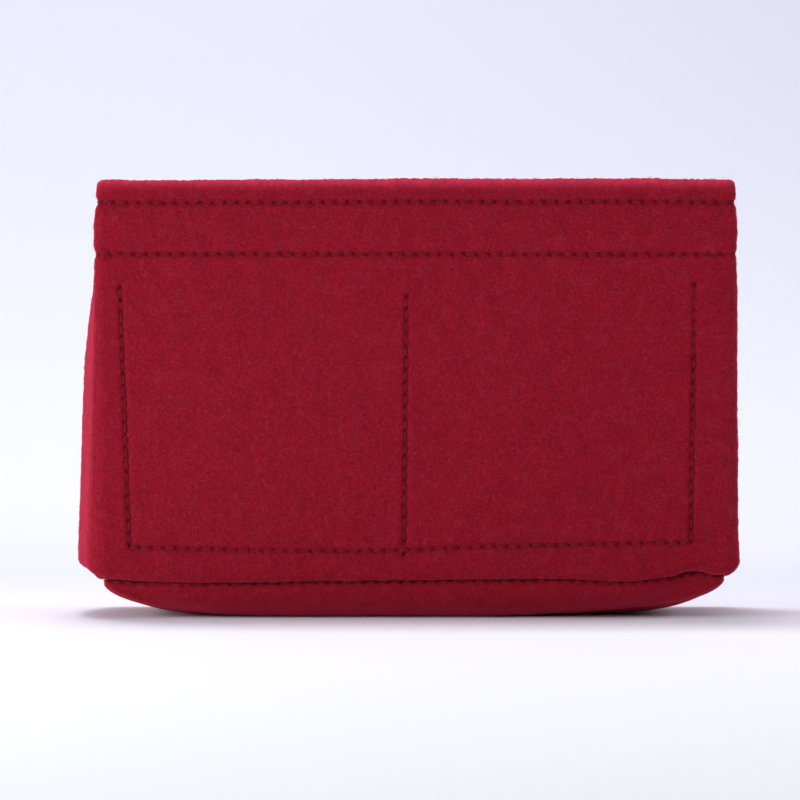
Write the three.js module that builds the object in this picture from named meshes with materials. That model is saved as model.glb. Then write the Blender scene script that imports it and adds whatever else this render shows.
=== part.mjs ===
import * as THREE from 'three';
import { mergeVertices } from 'three/addons/utils/BufferGeometryUtils.js';

// A soft felt organiser that stands inside a handbag. Millimetres, +Z up, front towards -Y.

// Felt and sewing
const feltThickness = 2.5;
const pocketFeltThickness = 2;
const threadRadius = 0.35;
const seamGap = 0.3;
const seamAllowance = 5;
const allowanceThickness = 2;
const allowanceFade = 6;

// Outer size of the walls, from corner seam to corner seam
const topHeight = 147;
const topHalfWidth = 107.5;
const baseHalfWidth = 110;
const topHalfDepth = 39;
const baseHalfDepth = 41;
const cornerRadius = 3;
const longWallSwell = 2;
const leftGussetBulge = 4.5;
const rightGussetBulge = -2;

// Seam between the walls and the base
const seamHeight = 10.2;
const seamCornerRise = 2.3;
const seamRiseRun = 25;
const bottomBendRadius = 6;

// Hem: the top edge folded inwards and sewn with two rows
const hemDepth = 28;
const hemSlit = 0.6;
const upperRowDepth = 7.4;
const lowerRowDepth = 24.8;
const rowPinch = 0.8;
const rowPinchReach = 3;
const hemPuff = 0.4;

// Base panel, which sags to a flat rest on the floor
const baseSetback = 0.5;
const restHalfLength = 64;
const restHalfDepth = 24;
const restCornerRadius = 20;
const baseCornerRadius = 7;

// Pocket patches, sewn inside the long walls down each side, along the bottom and up the middle
const pocketDrop = 6;
const pocketMouthMargin = 3;
const pocketSeamRise = 11.1;
const pocketTopSetback = 10.9;
const pocketBottomSetback = 15;
const pocketMargin = 2.3;
const pocketGape = 12;

// Angles, shares and counts
const smoothCornerTurn = Math.PI / 4;
const creasedCornerTurn = (5 * Math.PI) / 12;
const bulgePeakShare = 0.12;
const bodyRowShares = [0, 0.2, 0.46, 0.74, 1];
const longWallSpanCount = 8;
const gussetSpanCount = 4;
const cornerSteps = 3;
const bendSteps = 3;
const foldSteps = 5;
const pocketSpanCount = 5;
const pocketRiseCount = 5;
const baseEndSteps = 2;
const baseCornerSteps = 4;
const baseSideSteps = 6;
const sagSteps = 6;
const threadSides = 4;
const pocketSideStitches = 7;
const pocketBottomStitches = 12;
const cornerSeamStitches = 10;

// Colours and finishes
const feltRed = '#8f1a2e';
const threadRed = '#7d1426';
const feltRoughness = 0.95;
const threadRoughness = 0.7;

// Sizes that follow from the ones above
const foldRadius = feltThickness + hemSlit / 2;
const hemBottom = topHeight - hemDepth;
const allowanceEnd = hemBottom - rowPinchReach / 2;
const threadStandOff = seamGap + threadRadius;
const baseInset = bottomBendRadius + baseSetback;
const hemMiddleDepth = (upperRowDepth + lowerRowDepth) / 2;
const hemInnerInset = 2 * foldRadius;
const pocketInset = feltThickness + seamGap;
const pocketTopHeight = hemBottom - pocketDrop;
const pocketSeamTop = pocketTopHeight - pocketMouthMargin;
const pocketSeamBottom = seamHeight + pocketSeamRise;
const diagonalShare = Math.SQRT1_2;

// Along the hem: depth below the top, and how far the felt is pressed in by the stitches
const hemRows = [
  { depth: lowerRowDepth + rowPinchReach, press: 0 },
  { depth: lowerRowDepth, press: rowPinch },
  { depth: lowerRowDepth - rowPinchReach, press: 0 },
  { depth: hemMiddleDepth, press: -hemPuff },
  { depth: upperRowDepth + rowPinchReach, press: 0 },
  { depth: upperRowDepth, press: rowPinch },
];

const { clamp, lerp: blend, smoothstep } = THREE.MathUtils;

function halfWidthAt(height) {
  return blend(baseHalfWidth, topHalfWidth, (height - seamHeight) / (topHeight - seamHeight));
}

function halfDepthAt(height) {
  return blend(baseHalfDepth, topHalfDepth, (height - seamHeight) / (topHeight - seamHeight));
}

// The base seam climbs towards the corners and stays up along the gussets
function seamHeightAt(x) {
  const run = (Math.abs(x) - (baseHalfWidth - seamRiseRun)) / seamRiseRun;
  return seamHeight + seamCornerRise * smoothstep(run, 0, 1);
}

// How far up a wall a height is: 0 at its foot and 1 at the hem
function bodyShare(height, foot) {
  return clamp((height - foot) / (hemBottom - foot), 0, 1);
}

// A long wall swells evenly, and a gusset bulges most near its foot
function longWallSwellAt(height) {
  return longWallSwell * Math.sin(Math.PI * bodyShare(height, seamHeight));
}

function gussetBulgeShare(height) {
  const share = bodyShare(height, seamHeight + seamCornerRise);
  return (1 - share) * Math.min(1, share / bulgePeakShare);
}

// Each wall in its own frame: X runs across it and -Y points out of the bag
function longWall(turn) {
  return {
    turn,
    spans: longWallSpanCount,
    half: halfWidthAt,
    out: halfDepthAt,
    swell: longWallSwellAt,
    seam: seamHeightAt,
  };
}

function gusset(turn, bulge) {
  return {
    turn,
    spans: gussetSpanCount,
    half: halfDepthAt,
    out: halfWidthAt,
    swell: (height) => bulge * gussetBulgeShare(height),
    seam: () => seamHeight + seamCornerRise,
  };
}

const frontWall = longWall(0);
const rightWall = gusset(Math.PI / 2, rightGussetBulge);
const backWall = longWall(Math.PI);
const leftWall = gusset(-Math.PI / 2, leftGussetBulge);

// Columns of a wall: even spans between the corners, then the steps of each corner
function columnOf(wall, index) {
  const last = cornerSteps + wall.spans;
  if (index < cornerSteps) {
    return { share: -1, step: cornerSteps - index };
  }
  if (index > last) {
    return { share: 1, step: index - last };
  }
  return { share: (2 * (index - cornerSteps)) / wall.spans - 1, step: 0 };
}

function columnCount(wall) {
  return wall.spans + 2 * cornerSteps;
}

// The seam allowances stand inside the corners between the bottom bend and the hem
function allowanceShare(height) {
  const foot = seamHeight + seamCornerRise + bottomBendRadius;
  return clamp(Math.min(height - foot, allowanceEnd - height) / allowanceFade, 0, 1);
}

function cornerTurnAt(height) {
  return blend(smoothCornerTurn, creasedCornerTurn, allowanceShare(height));
}

function cornerReach(turn) {
  return cornerRadius * (1 + Math.sin(turn) - Math.cos(turn));
}

// Corner steps, measured back from the point where the outer faces of two walls would meet
function roundedStep(step, turn) {
  const angle = (turn * step) / cornerSteps;
  const across = cornerRadius * Math.sin(angle) - cornerReach(turn);
  return new THREE.Vector2(across, cornerRadius * (Math.cos(angle) - 1));
}

function plainStep(step, turn) {
  return new THREE.Vector2(cornerReach(turn) * (step / cornerSteps - 1), 0);
}

function allowanceStep(step, turn) {
  const tip = -seamAllowance * diagonalShare;
  const side = allowanceThickness * diagonalShare;
  const steps = [
    plainStep(0, turn),
    new THREE.Vector2(-2 * side, 0),
    new THREE.Vector2(tip - side, tip + side),
    new THREE.Vector2(tip, tip),
  ];
  return steps[step];
}

// A point on the straight part of a wall, at a length across it and an inset from its outer face
function feltPoint(wall, across, inset, height) {
  const share = across / (wall.half(height) - inset - cornerReach(cornerTurnAt(height)));
  const swell = wall.swell(height) * (1 - share * share);
  return new THREE.Vector3(across, inset - wall.out(height) - swell, height);
}

// A point on a column of a wall. Rounding is 1 where the corner is round and 0 where it is plain.
function wallPoint(wall, column, inset, height, { rounding = 0, inside = false, gap = seamGap } = {}) {
  const turn = cornerTurnAt(height);
  const half = wall.half(height) - gap * diagonalShare - inset;
  if (column.step === 0) {
    return feltPoint(wall, column.share * (half - cornerReach(turn)), inset, height);
  }
  const offset = plainStep(column.step, turn).lerp(roundedStep(column.step, turn), rounding);
  if (inside) {
    offset.lerp(allowanceStep(column.step, turn), allowanceShare(height));
  }
  return new THREE.Vector3(column.share * (half + offset.x), inset - wall.out(height) - offset.y, height);
}

// The felt's outer side from the bottom allowance, up the wall, over the fold and down the hem.
// Lean is the way that this side faces: down, then out of the bag, then up, then into the bag.
function wallSection(seam) {
  const rows = [];
  const bendFoot = seam + seamGap / 2;
  rows.push({ inset: bottomBendRadius + seamAllowance, height: bendFoot, lean: -Math.PI / 2 });
  for (let step = 0; step <= bendSteps; step += 1) {
    const lean = (Math.PI / 2) * (step / bendSteps - 1);
    const height = bendFoot + bottomBendRadius * (1 + Math.sin(lean));
    rows.push({ inset: bottomBendRadius * (1 - Math.cos(lean)), height, lean });
  }
  const bodyFoot = bendFoot + bottomBendRadius + allowanceFade;
  for (const share of bodyRowShares) {
    rows.push({ inset: 0, height: blend(bodyFoot, allowanceEnd - allowanceFade, share), lean: 0 });
  }
  rows.push({ inset: 0, height: allowanceEnd, lean: 0 });
  for (const { depth, press } of hemRows) {
    rows.push({ inset: 0, height: topHeight - depth, lean: 0, press });
  }
  for (let step = 0; step <= foldSteps; step += 1) {
    const lean = (Math.PI * step) / foldSteps;
    const height = topHeight - foldRadius * (1 - Math.sin(lean));
    rows.push({ inset: foldRadius * (1 - Math.cos(lean)), height, lean });
  }
  for (const { depth, press } of hemRows.slice(1).reverse()) {
    rows.push({ inset: hemInnerInset, height: topHeight - depth, lean: Math.PI, press });
  }
  rows.push({ inset: hemInnerInset, height: hemBottom, lean: Math.PI });
  return rows;
}

function closedSkin(geometry) {
  geometry.deleteAttribute('normal');
  geometry.deleteAttribute('uv');
  const skin = mergeVertices(geometry);
  skin.computeVertexNormals();
  return skin;
}

// Felt is cut flat and then bent: every point of a flat blank is moved to its place
function bentBlank(columns, rows, place) {
  const blank = new THREE.BoxGeometry(1, 1, 1, columns, rows, 1);
  const points = blank.attributes.position;
  for (let index = 0; index < points.count; index += 1) {
    const column = Math.round((points.getX(index) + 1 / 2) * columns);
    const row = Math.round((points.getY(index) + 1 / 2) * rows);
    const spot = place(column, row, points.getZ(index) > 0);
    points.setXYZ(index, spot.x, spot.y, spot.z);
  }
  return closedSkin(blank);
}

function wallGeometry(wall) {
  const rowCount = wallSection(seamHeight).length - 1;
  return bentBlank(columnCount(wall), rowCount, (columnIndex, rowIndex, outer) => {
    const column = columnOf(wall, columnIndex);
    const row = wallSection(wall.seam(column.share * baseHalfWidth))[rowIndex];
    const { inset, height, lean, press = 0 } = row;
    if (outer) {
      const rounding = (1 + Math.cos(lean)) / 2;
      return wallPoint(wall, column, inset + press * Math.cos(lean), height, { rounding });
    }
    const innerInset = inset + feltThickness * Math.cos(lean);
    const innerHeight = height - feltThickness * Math.sin(lean);
    return wallPoint(wall, column, innerInset, innerHeight, { inside: lean === 0 });
  });
}

// Base panel: the underside's profile runs from the rest out to the seam, over the allowance and
// back inside. Reach and rise are shares of the way from the rest to the seam.
function baseProfile() {
  const rows = [];
  const under = seamGap / 2;
  for (let step = 0; step <= sagSteps; step += 1) {
    const angle = ((Math.PI / 2) * step) / sagSteps;
    rows.push({ reach: Math.sin(angle), rise: 1 - Math.cos(angle), inset: 0, lift: -under });
  }
  rows.push({ reach: 1, rise: 1, inset: seamAllowance, lift: -under });
  rows.push({ reach: 1, rise: 1, inset: seamAllowance, lift: -under - feltThickness });
  rows.push({ reach: 1, rise: 1, inset: feltThickness, lift: -under - feltThickness });
  for (let step = sagSteps - 2; step >= 0; step -= 1) {
    const angle = ((Math.PI / 2) * step) / sagSteps;
    const inset = feltThickness * Math.sin(angle);
    const lift = feltThickness * Math.cos(angle);
    rows.push({ reach: Math.sin(angle), rise: 1 - Math.cos(angle), inset, lift });
  }
  return rows;
}

// A rounded rectangle, point by point: half an end, a corner and half a side in each quarter
function roundedRectanglePoint(index, halfLength, halfDepth, radius) {
  const quarterSteps = baseEndSteps + baseCornerSteps + baseSideSteps;
  const quarter = Math.floor(index / quarterSteps) % 4;
  const along = index % quarterSteps;
  const step = quarter % 2 === 0 ? along : quarterSteps - along;
  const cornerStep = clamp(step - baseEndSteps, 0, baseCornerSteps);
  const angle = ((Math.PI / 2) * cornerStep) / baseCornerSteps;
  const endShare = Math.min(1, step / baseEndSteps);
  const sideShare = Math.min(1, (quarterSteps - step) / baseSideSteps);
  const x = (halfLength - radius) * sideShare + radius * Math.cos(angle);
  const y = (halfDepth - radius) * endShare + radius * Math.sin(angle);
  const xSign = quarter === 0 || quarter === 3 ? 1 : -1;
  const ySign = quarter < 2 ? 1 : -1;
  return new THREE.Vector2(x * xSign, y * ySign);
}

function basePoint(row, index) {
  const { reach, rise, inset, lift } = row;
  const halfLength = blend(restHalfLength, baseHalfWidth - baseInset, reach) - inset;
  const halfDepth = blend(restHalfDepth, baseHalfDepth - baseInset, reach) - inset;
  const radius = blend(restCornerRadius, baseCornerRadius, reach) - inset;
  const spot = roundedRectanglePoint(index, halfLength, halfDepth, radius);
  const height = Math.max(0, seamHeightAt(spot.x) * rise + lift);
  return new THREE.Vector3(spot.x, spot.y, height);
}

function baseGeometry() {
  const rows = baseProfile();
  const top = rows.length + 1;
  const outline = [new THREE.Vector2(0, 0)];
  rows.forEach((row, index) => outline.push(new THREE.Vector2(1, index + 1)));
  outline.push(new THREE.Vector2(0, top));
  const segments = 4 * (baseEndSteps + baseCornerSteps + baseSideSteps);
  const panel = new THREE.LatheGeometry(outline, segments);
  const points = panel.attributes.position;
  for (let index = 0; index < points.count; index += 1) {
    const level = Math.round(points.getY(index));
    const turn = Math.atan2(points.getX(index), points.getZ(index)) / (2 * Math.PI);
    const segment = (Math.round(turn * segments) + segments) % segments;
    const pole = new THREE.Vector3(0, 0, level === top ? feltThickness : 0);
    const spot = level === 0 || level === top ? pole : basePoint(rows[level - 1], segment);
    points.setXYZ(index, spot.x, spot.y, spot.z);
  }
  return closedSkin(panel);
}

// Pocket patch: flat along its seams, and standing off the wall between them at its mouth
function pocketSeamShare(height) {
  return (height - pocketSeamBottom) / (pocketSeamTop - pocketSeamBottom);
}

function pocketSeamHalf(height) {
  return halfWidthAt(height) - blend(pocketBottomSetback, pocketTopSetback, pocketSeamShare(height));
}

function pocketGapeAt(across, height) {
  const betweenSeams = Math.min(1, Math.abs(across) / pocketSeamHalf(height));
  const rise = Math.sin((Math.PI / 2) * clamp(pocketSeamShare(height), 0, 1));
  return pocketGape * Math.sin(Math.PI * betweenSeams) * rise;
}

function pocketColumnAcross(index, height) {
  const side = index - pocketSpanCount - 1;
  const seam = pocketSeamHalf(height);
  if (Math.abs(side) > pocketSpanCount) {
    return Math.sign(side) * (seam + pocketMargin);
  }
  return (seam * side) / pocketSpanCount;
}

function pocketRowHeight(index) {
  if (index === 0) {
    return pocketSeamBottom - pocketMargin;
  }
  return blend(pocketSeamBottom, pocketTopHeight, (index - 1) / pocketRiseCount);
}

function pocketGeometry(wall) {
  return bentBlank(2 * pocketSpanCount + 2, pocketRiseCount + 1, (columnIndex, rowIndex, outer) => {
    const height = pocketRowHeight(rowIndex);
    const across = pocketColumnAcross(columnIndex, height);
    const inset = pocketInset + pocketGapeAt(across, height);
    return feltPoint(wall, across, outer ? inset : inset + pocketFeltThickness, height);
  });
}

// A thread is a thin bar whose rings are moved along a line of spots; each spot says which way
// is out of the felt
function threadGeometry(spots) {
  const steps = spots.length - 1;
  const bar = new THREE.CylinderGeometry(1, 1, 1, threadSides, steps);
  const points = bar.attributes.position;
  for (let index = 0; index < points.count; index += 1) {
    const ring = Math.round((points.getY(index) + 1 / 2) * steps);
    const before = spots[Math.max(ring - 1, 0)].point;
    const after = spots[Math.min(ring + 1, steps)].point;
    const along = after.clone().sub(before).normalize();
    const side = along.cross(spots[ring].out).normalize();
    const spot = spots[ring].point.clone();
    spot.addScaledVector(side, threadRadius * points.getX(index));
    spot.addScaledVector(spots[ring].out, threadRadius * points.getZ(index));
    points.setXYZ(index, spot.x, spot.y, spot.z);
  }
  return closedSkin(bar);
}

const upright = new THREE.Vector3(0, 0, 1);

function outOf(wall, column) {
  const lean = (smoothCornerTurn * column.share * column.step) / cornerSteps;
  return new THREE.Vector3(0, -1, 0).applyAxisAngle(upright, wall.turn + lean);
}

function rowSpot(wall, column, inset, heightAt, rounding) {
  const height = heightAt(wall, column);
  const point = wallPoint(wall, column, inset, height, { rounding, gap: 0 });
  return { point: point.applyAxisAngle(upright, wall.turn), out: outOf(wall, column) };
}

// A row of stitches goes once round the bag and ends beside its start in the middle of the back
function rowThread(inset, heightAt, rounding) {
  const spots = [];
  const middle = columnCount(backWall) / 2;
  const stretches = [
    [backWall, middle, columnCount(backWall)],
    [leftWall, 1, columnCount(leftWall)],
    [frontWall, 1, columnCount(frontWall)],
    [rightWall, 1, columnCount(rightWall)],
    [backWall, 1, middle],
  ];
  for (const [wall, first, last] of stretches) {
    for (let index = first; index <= last; index += 1) {
      spots.push(rowSpot(wall, columnOf(wall, index), inset, heightAt, rounding));
    }
  }
  spots[0].point.x -= seamGap;
  spots.at(-1).point.x += seamGap;
  return threadGeometry(spots);
}

function hemRowThread(depth) {
  return rowThread(rowPinch - threadStandOff, () => topHeight - depth, 1);
}

function hemRowUnderThread(depth) {
  return rowThread(hemInnerInset - rowPinch + threadStandOff, () => topHeight - depth, 0);
}

function baseSeamThread() {
  const drop = threadStandOff - seamGap / 2;
  const heightAt = (wall, column) => wall.seam(column.share * baseHalfWidth) - drop;
  return rowThread(baseInset - threadStandOff, heightAt, 0);
}

// Pocket seams run on the outer face of a wall, and their under threads on the patch
function pocketSpot(wall, across, height, inset) {
  const outward = inset < 0 ? -1 : 1;
  return { point: feltPoint(wall, across, inset, height), out: new THREE.Vector3(0, outward, 0) };
}

function pocketOutlineThread(wall, inset) {
  const spots = [];
  for (let stitch = pocketSideStitches; stitch > 0; stitch -= 1) {
    const height = blend(pocketSeamBottom, pocketSeamTop, stitch / pocketSideStitches);
    spots.push(pocketSpot(wall, -pocketSeamHalf(height), height, inset));
  }
  for (let stitch = 0; stitch <= pocketBottomStitches; stitch += 1) {
    const across = pocketSeamHalf(pocketSeamBottom) * ((2 * stitch) / pocketBottomStitches - 1);
    spots.push(pocketSpot(wall, across, pocketSeamBottom, inset));
  }
  for (let stitch = 1; stitch <= pocketSideStitches; stitch += 1) {
    const height = blend(pocketSeamBottom, pocketSeamTop, stitch / pocketSideStitches);
    spots.push(pocketSpot(wall, pocketSeamHalf(height), height, inset));
  }
  return threadGeometry(spots);
}

function pocketCentreThread(wall, inset) {
  const foot = pocketSeamBottom + 2 * threadRadius + seamGap;
  const spots = [];
  for (let stitch = 0; stitch <= pocketSideStitches; stitch += 1) {
    const height = blend(foot, pocketSeamTop, stitch / pocketSideStitches);
    spots.push(pocketSpot(wall, 0, height, inset));
  }
  return threadGeometry(spots);
}

// A corner seam's thread lies in the crease between a wall and the next one
function cornerSeamThread(wall) {
  const column = { share: 1, step: cornerSteps };
  const foot = seamHeight + seamCornerRise + bottomBendRadius + allowanceFade / 2;
  const head = allowanceEnd - allowanceFade / 2;
  const out = outOf(wall, column);
  const spots = [];
  for (let stitch = 0; stitch <= cornerSeamStitches; stitch += 1) {
    const height = blend(foot, head, stitch / cornerSeamStitches);
    const { point } = rowSpot(wall, column, 0, () => height, 1);
    spots.push({ point: point.addScaledVector(out, threadStandOff / diagonalShare), out });
  }
  return threadGeometry(spots);
}

const felt = new THREE.MeshStandardMaterial({ color: feltRed, roughness: feltRoughness, metalness: 0 });
const thread = new THREE.MeshStandardMaterial({ color: threadRed, roughness: threadRoughness, metalness: 0 });

const bag = new THREE.Group();

function addPiece(name, geometry, material, turn = 0) {
  const piece = new THREE.Mesh(geometry, material.clone());
  piece.name = name;
  piece.rotation.z = turn;
  bag.add(piece);
}

function addWall(name, wall) {
  addPiece(name, wallGeometry(wall), felt, wall.turn);
}

function addPocket(side, wall) {
  const outside = -threadStandOff;
  const inside = pocketInset + pocketFeltThickness + threadStandOff;
  addPiece(`${side}_pocket`, pocketGeometry(wall), felt, wall.turn);
  addPiece(`${side}_pocket_outline_thread`, pocketOutlineThread(wall, outside), thread, wall.turn);
  addPiece(`${side}_pocket_centre_thread`, pocketCentreThread(wall, outside), thread, wall.turn);
  addPiece(`${side}_pocket_outline_under_thread`, pocketOutlineThread(wall, inside), thread, wall.turn);
  addPiece(`${side}_pocket_centre_under_thread`, pocketCentreThread(wall, inside), thread, wall.turn);
}

addWall('front_panel', frontWall);
addWall('back_panel', backWall);
addWall('left_gusset', leftWall);
addWall('right_gusset', rightWall);
addPiece('base_panel', baseGeometry(), felt);
addPocket('front', frontWall);
addPocket('back', backWall);
addPiece('upper_hem_thread', hemRowThread(upperRowDepth), thread);
addPiece('lower_hem_thread', hemRowThread(lowerRowDepth), thread);
addPiece('upper_hem_under_thread', hemRowUnderThread(upperRowDepth), thread);
addPiece('lower_hem_under_thread', hemRowUnderThread(lowerRowDepth), thread);
addPiece('base_seam_thread', baseSeamThread(), thread);
addPiece('front_right_seam_thread', cornerSeamThread(frontWall), thread);
addPiece('back_right_seam_thread', cornerSeamThread(rightWall), thread);
addPiece('back_left_seam_thread', cornerSeamThread(backWall), thread);
addPiece('front_left_seam_thread', cornerSeamThread(leftWall), thread);

// The origin is on the floor below the middle of the whole object
const middle = new THREE.Box3().setFromObject(bag).getCenter(new THREE.Vector3());
bag.position.set(-middle.x, -middle.y, 0);

const organiser = new THREE.Group();
organiser.add(bag);
export default organiser;
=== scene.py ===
"""Looks of a red felt bag organiser: its felt, its stitches and the studio around it."""

import math

import bpy
import numpy as np
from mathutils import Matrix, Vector, kdtree


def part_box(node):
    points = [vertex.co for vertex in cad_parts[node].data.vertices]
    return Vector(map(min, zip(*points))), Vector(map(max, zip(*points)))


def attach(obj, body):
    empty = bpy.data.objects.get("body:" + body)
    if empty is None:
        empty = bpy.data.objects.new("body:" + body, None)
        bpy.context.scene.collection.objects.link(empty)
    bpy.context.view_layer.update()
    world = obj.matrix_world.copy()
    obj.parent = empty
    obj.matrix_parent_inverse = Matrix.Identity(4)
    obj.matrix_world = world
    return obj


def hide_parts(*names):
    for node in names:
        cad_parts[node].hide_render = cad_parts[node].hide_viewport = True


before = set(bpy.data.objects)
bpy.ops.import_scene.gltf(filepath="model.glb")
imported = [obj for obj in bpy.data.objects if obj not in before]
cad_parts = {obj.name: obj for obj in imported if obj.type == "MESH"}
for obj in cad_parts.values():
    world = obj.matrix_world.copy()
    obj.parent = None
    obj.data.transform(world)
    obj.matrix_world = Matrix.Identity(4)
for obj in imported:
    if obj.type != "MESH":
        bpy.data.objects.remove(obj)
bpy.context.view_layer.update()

bl_info = {
    "name": "Felt bag organiser",
    "version": (1, 0, 0),
    "blender": (4, 5, 0),
    "location": "View3D > Sidebar > Organiser",
    "description": "Sews the felt walls, base, pockets and stitches of a bag organiser",
    "category": "Add Mesh",
}

FRONT_LOW, FRONT_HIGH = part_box("front_panel")
MIDDLE_X = (FRONT_LOW.x + FRONT_HIGH.x) / 2
BODY = "root"
MM = 0.001
DIAGONAL = math.sqrt(0.5)
QUARTER = math.pi / 2


def size(name, default, description):
    """A length that a user can change."""
    return bpy.props.FloatProperty(
        name=name, default=default, description=description, unit="LENGTH", precision=5
    )


def share(name, default, description):
    """A share or strength from 0 to 1."""
    return bpy.props.FloatProperty(
        name=name, default=default, description=description, min=0, max=1, subtype="FACTOR"
    )


def tint(name, default, description):
    """A colour that a user can change."""
    return bpy.props.FloatVectorProperty(
        name=name, default=default, description=description, size=3, min=0, max=1, subtype="COLOR"
    )


class BagSizes(bpy.types.PropertyGroup):
    """Outer sizes of the felt bag"""

    felt: size("Felt", 2.5 * MM, "Thickness of the wall felt")
    top: size("Top", FRONT_HIGH.z, "Height of the folded top edge")
    top_half_width: size("Top half width", 107 * MM, "Half the width at the top edge")
    foot_half_width: size("Foot half width", 110.1 * MM, "Half the width at the base seam")
    top_half_depth: size("Top half depth", 39 * MM, "Half the depth at the top edge")
    foot_half_depth: size("Foot half depth", 41 * MM, "Half the depth at the base seam")
    top_lean: size("Top lean", 0.9 * MM, "How far the top edge leans to the right")
    foot_lean: size("Foot lean", -0.5 * MM, "How far the base seam is off to the right")
    left_round: size("Left rounding", 6.3 * MM, "How much rounder the left corners are at the foot")
    right_round: size("Right rounding", 2.3 * MM, "How much rounder the right corners are at the foot")
    corner: size("Corner radius", 2.2 * MM, "Radius of the felt where it turns into a corner seam")
    swell: size("Swell", 2 * MM, "How far the long walls swell outwards")
    left_bulge: size("Left bulge", 4.6 * MM, "How far the left gusset bulges outwards")
    right_bulge: size("Right bulge", -1.6 * MM, "How far the right gusset bulges outwards")
    allowance: size("Seam allowance", 5 * MM, "Width of felt turned in at a seam")
    allowance_felt: size("Allowance felt", 2 * MM, "Thickness of the felt turned in at a corner")
    allowance_fade: size("Allowance fade", 6 * MM, "Height over which the turned-in felt narrows")
    seam_gap: size("Seam gap", 0.06 * MM, "Gap between two pieces at their seam")


class FootSizes(bpy.types.PropertyGroup):
    """The base seam and the sagging base"""

    seam: size("Seam height", 10.2 * MM, "Height that the base seam's rises are counted from")
    rise: size("Gusset rise", 3.6 * MM, "How far the base seam climbs at the gussets")
    bend: size("Bend", 6 * MM, "Radius of the wall where it turns in at its foot")
    long_bend: size("Long bend", 3 * MM, "That radius along the middle of the long walls")
    setback: size("Setback", -1 * MM, "How far the base stands behind the end of the bend")
    rest_length: size("Rest half length", 69 * MM, "Half the length that rests on the floor")
    rest_depth: size("Rest half depth", 24 * MM, "Half the depth that rests on the floor")
    rest_corner: size("Rest corner", 20 * MM, "Corner radius of the area that rests")
    edge_corner: size("Edge corner", 3.5 * MM, "Corner radius of the base at its seam")
    right_reach: size("Right reach", 0.5 * MM, "How much further the base reaches at its right end")
    left_reach: size("Left reach", -1.0 * MM, "How much further the base reaches at its left end")
    right_lift: size("Right lift", 2.6 * MM, "How far the underside lifts off the floor on the right")
    left_lift: size("Left lift", 2.0 * MM, "How far the underside lifts off the floor on the left")


class HemSizes(bpy.types.PropertyGroup):
    """The folded hem and its rows of stitches"""

    depth: size("Hem depth", 28 * MM, "Height of the felt folded inwards")
    crown: size("Crown", 4.6 * MM, "Height of the rounded top of the fold")
    nap: size("Nap", 0.4 * MM, "How far the loosened felt of the fold stands up")
    slit: size("Slit", 0.6 * MM, "Gap between the two layers of the hem")
    upper: size("Upper row", 7.4 * MM, "Depth of the upper row below the top edge")
    lower: size("Lower row", 24.8 * MM, "Depth of the lower row below the top edge")
    puff: size("Puff", 0.5 * MM, "How far the felt puffs up between the rows")
    wave: size("Wave", 0.45 * MM, "Unevenness of the folded top edge")


class PocketSizes(bpy.types.PropertyGroup):
    """The pocket patches inside the long walls"""

    felt: size("Pocket felt", 2 * MM, "Thickness of the pocket felt")
    mouth: size("Mouth height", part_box("front_pocket")[1].z, "Height of the pocket's free edge")
    left_top: size("Left seam top", 111 * MM, "Height where the left seam starts")
    centre_top: size("Centre seam top", 108 * MM, "Height where the centre seam starts")
    right_top: size("Right seam top", 112 * MM, "Height where the right seam starts")
    seam_foot: size("Seam foot", 23.4 * MM, "Height of the bottom seam")
    left_half: size("Left half", 98.6 * MM, "From the middle to the left seam at its top")
    left_foot: size("Left foot", 94.3 * MM, "From the middle to the left seam at its foot")
    right_half: size("Right half", 93.7 * MM, "From the middle to the right seam at its top")
    right_foot: size("Right foot", 93.2 * MM, "From the middle to the right seam at its foot")
    margin: size("Margin", 2.3 * MM, "Felt beyond the seams")
    gape: size("Gape", 12 * MM, "How far the mouths stand off the wall")
    shift: size("Centre shift", -2.6 * MM, "How far the centre seam is off the middle")


class StitchSizes(bpy.types.PropertyGroup):
    """The thread and what it does to the felt"""

    pitch: size("Pitch", 4.1 * MM, "Distance from one needle hole to the next")
    thread: size("Thread", 0.3 * MM, "Radius of the thread")
    slant: size("Slant", 0.13 * MM, "How far a stitch leans across its row at each end")
    groove: size("Groove", 0.6 * MM, "Depth that a row presses into the felt")
    groove_reach: size("Groove reach", 1.1 * MM, "Half width of that groove")
    hole: size("Hole", 0.9 * MM, "Extra depth of the felt at a needle hole")
    hole_reach: size("Hole reach", 0.52 * MM, "Half width of that dimple")
    slot: size("Slot", 0.45 * MM, "How far the thread has drawn a hole out along the row")


class FuzzSizes(bpy.types.PropertyGroup):
    """The loose fibres on the felt"""

    length: size("Fibre length", 1.9 * MM, "Usual length of a loose fibre")
    lift: size("Fibre lift", 0.35 * MM, "How far a fibre stands off the felt")
    radius: size("Fibre radius", 0.03 * MM, "Radius of a fibre")


class FeltColours(bpy.types.PropertyGroup):
    """Colours of the felt and the thread"""

    felt: tint("Felt", (0.252, 0.0056, 0.0156), "Main colour of the felt")
    deep: tint("Deep felt", (0.125, 0.0008, 0.0055), "Colour between the fibres")
    light: tint("Light fibre", (0.42, 0.047, 0.086), "Colour of the fibres that catch light")
    # Painted highlight: the top of the fold and felt seen edge on turn towards this colour, in place of
    # the light that catches them
    painted_highlight: tint("Painted Highlight", (0.63, 0.036, 0.078), "Colour of the brushed felt on the fold")
    thread: tint("Thread", (0.20, 0.0045, 0.014), "Colour of the sewing thread")
    sheen: share("Sheen", 0.35, "Strength of the felt's sheen")


# Small helpers for arrays of points

def blend(a, b, t):
    """A value between a, where t is 0, and b, where it is 1."""
    return a + (b - a) * t


def smooth(t):
    """A soft rise from 0 to 1 while t goes from 0 to 1."""
    t = np.clip(t, 0, 1)
    return t * t * (3 - 2 * t)


def even(start, end, spacing, multiple=1):
    """Evenly spaced values whose number of steps is a multiple of a given count."""
    steps = max(1, round(abs(end - start) / spacing / multiple)) * multiple
    return np.linspace(start, end, steps + 1)


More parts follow.
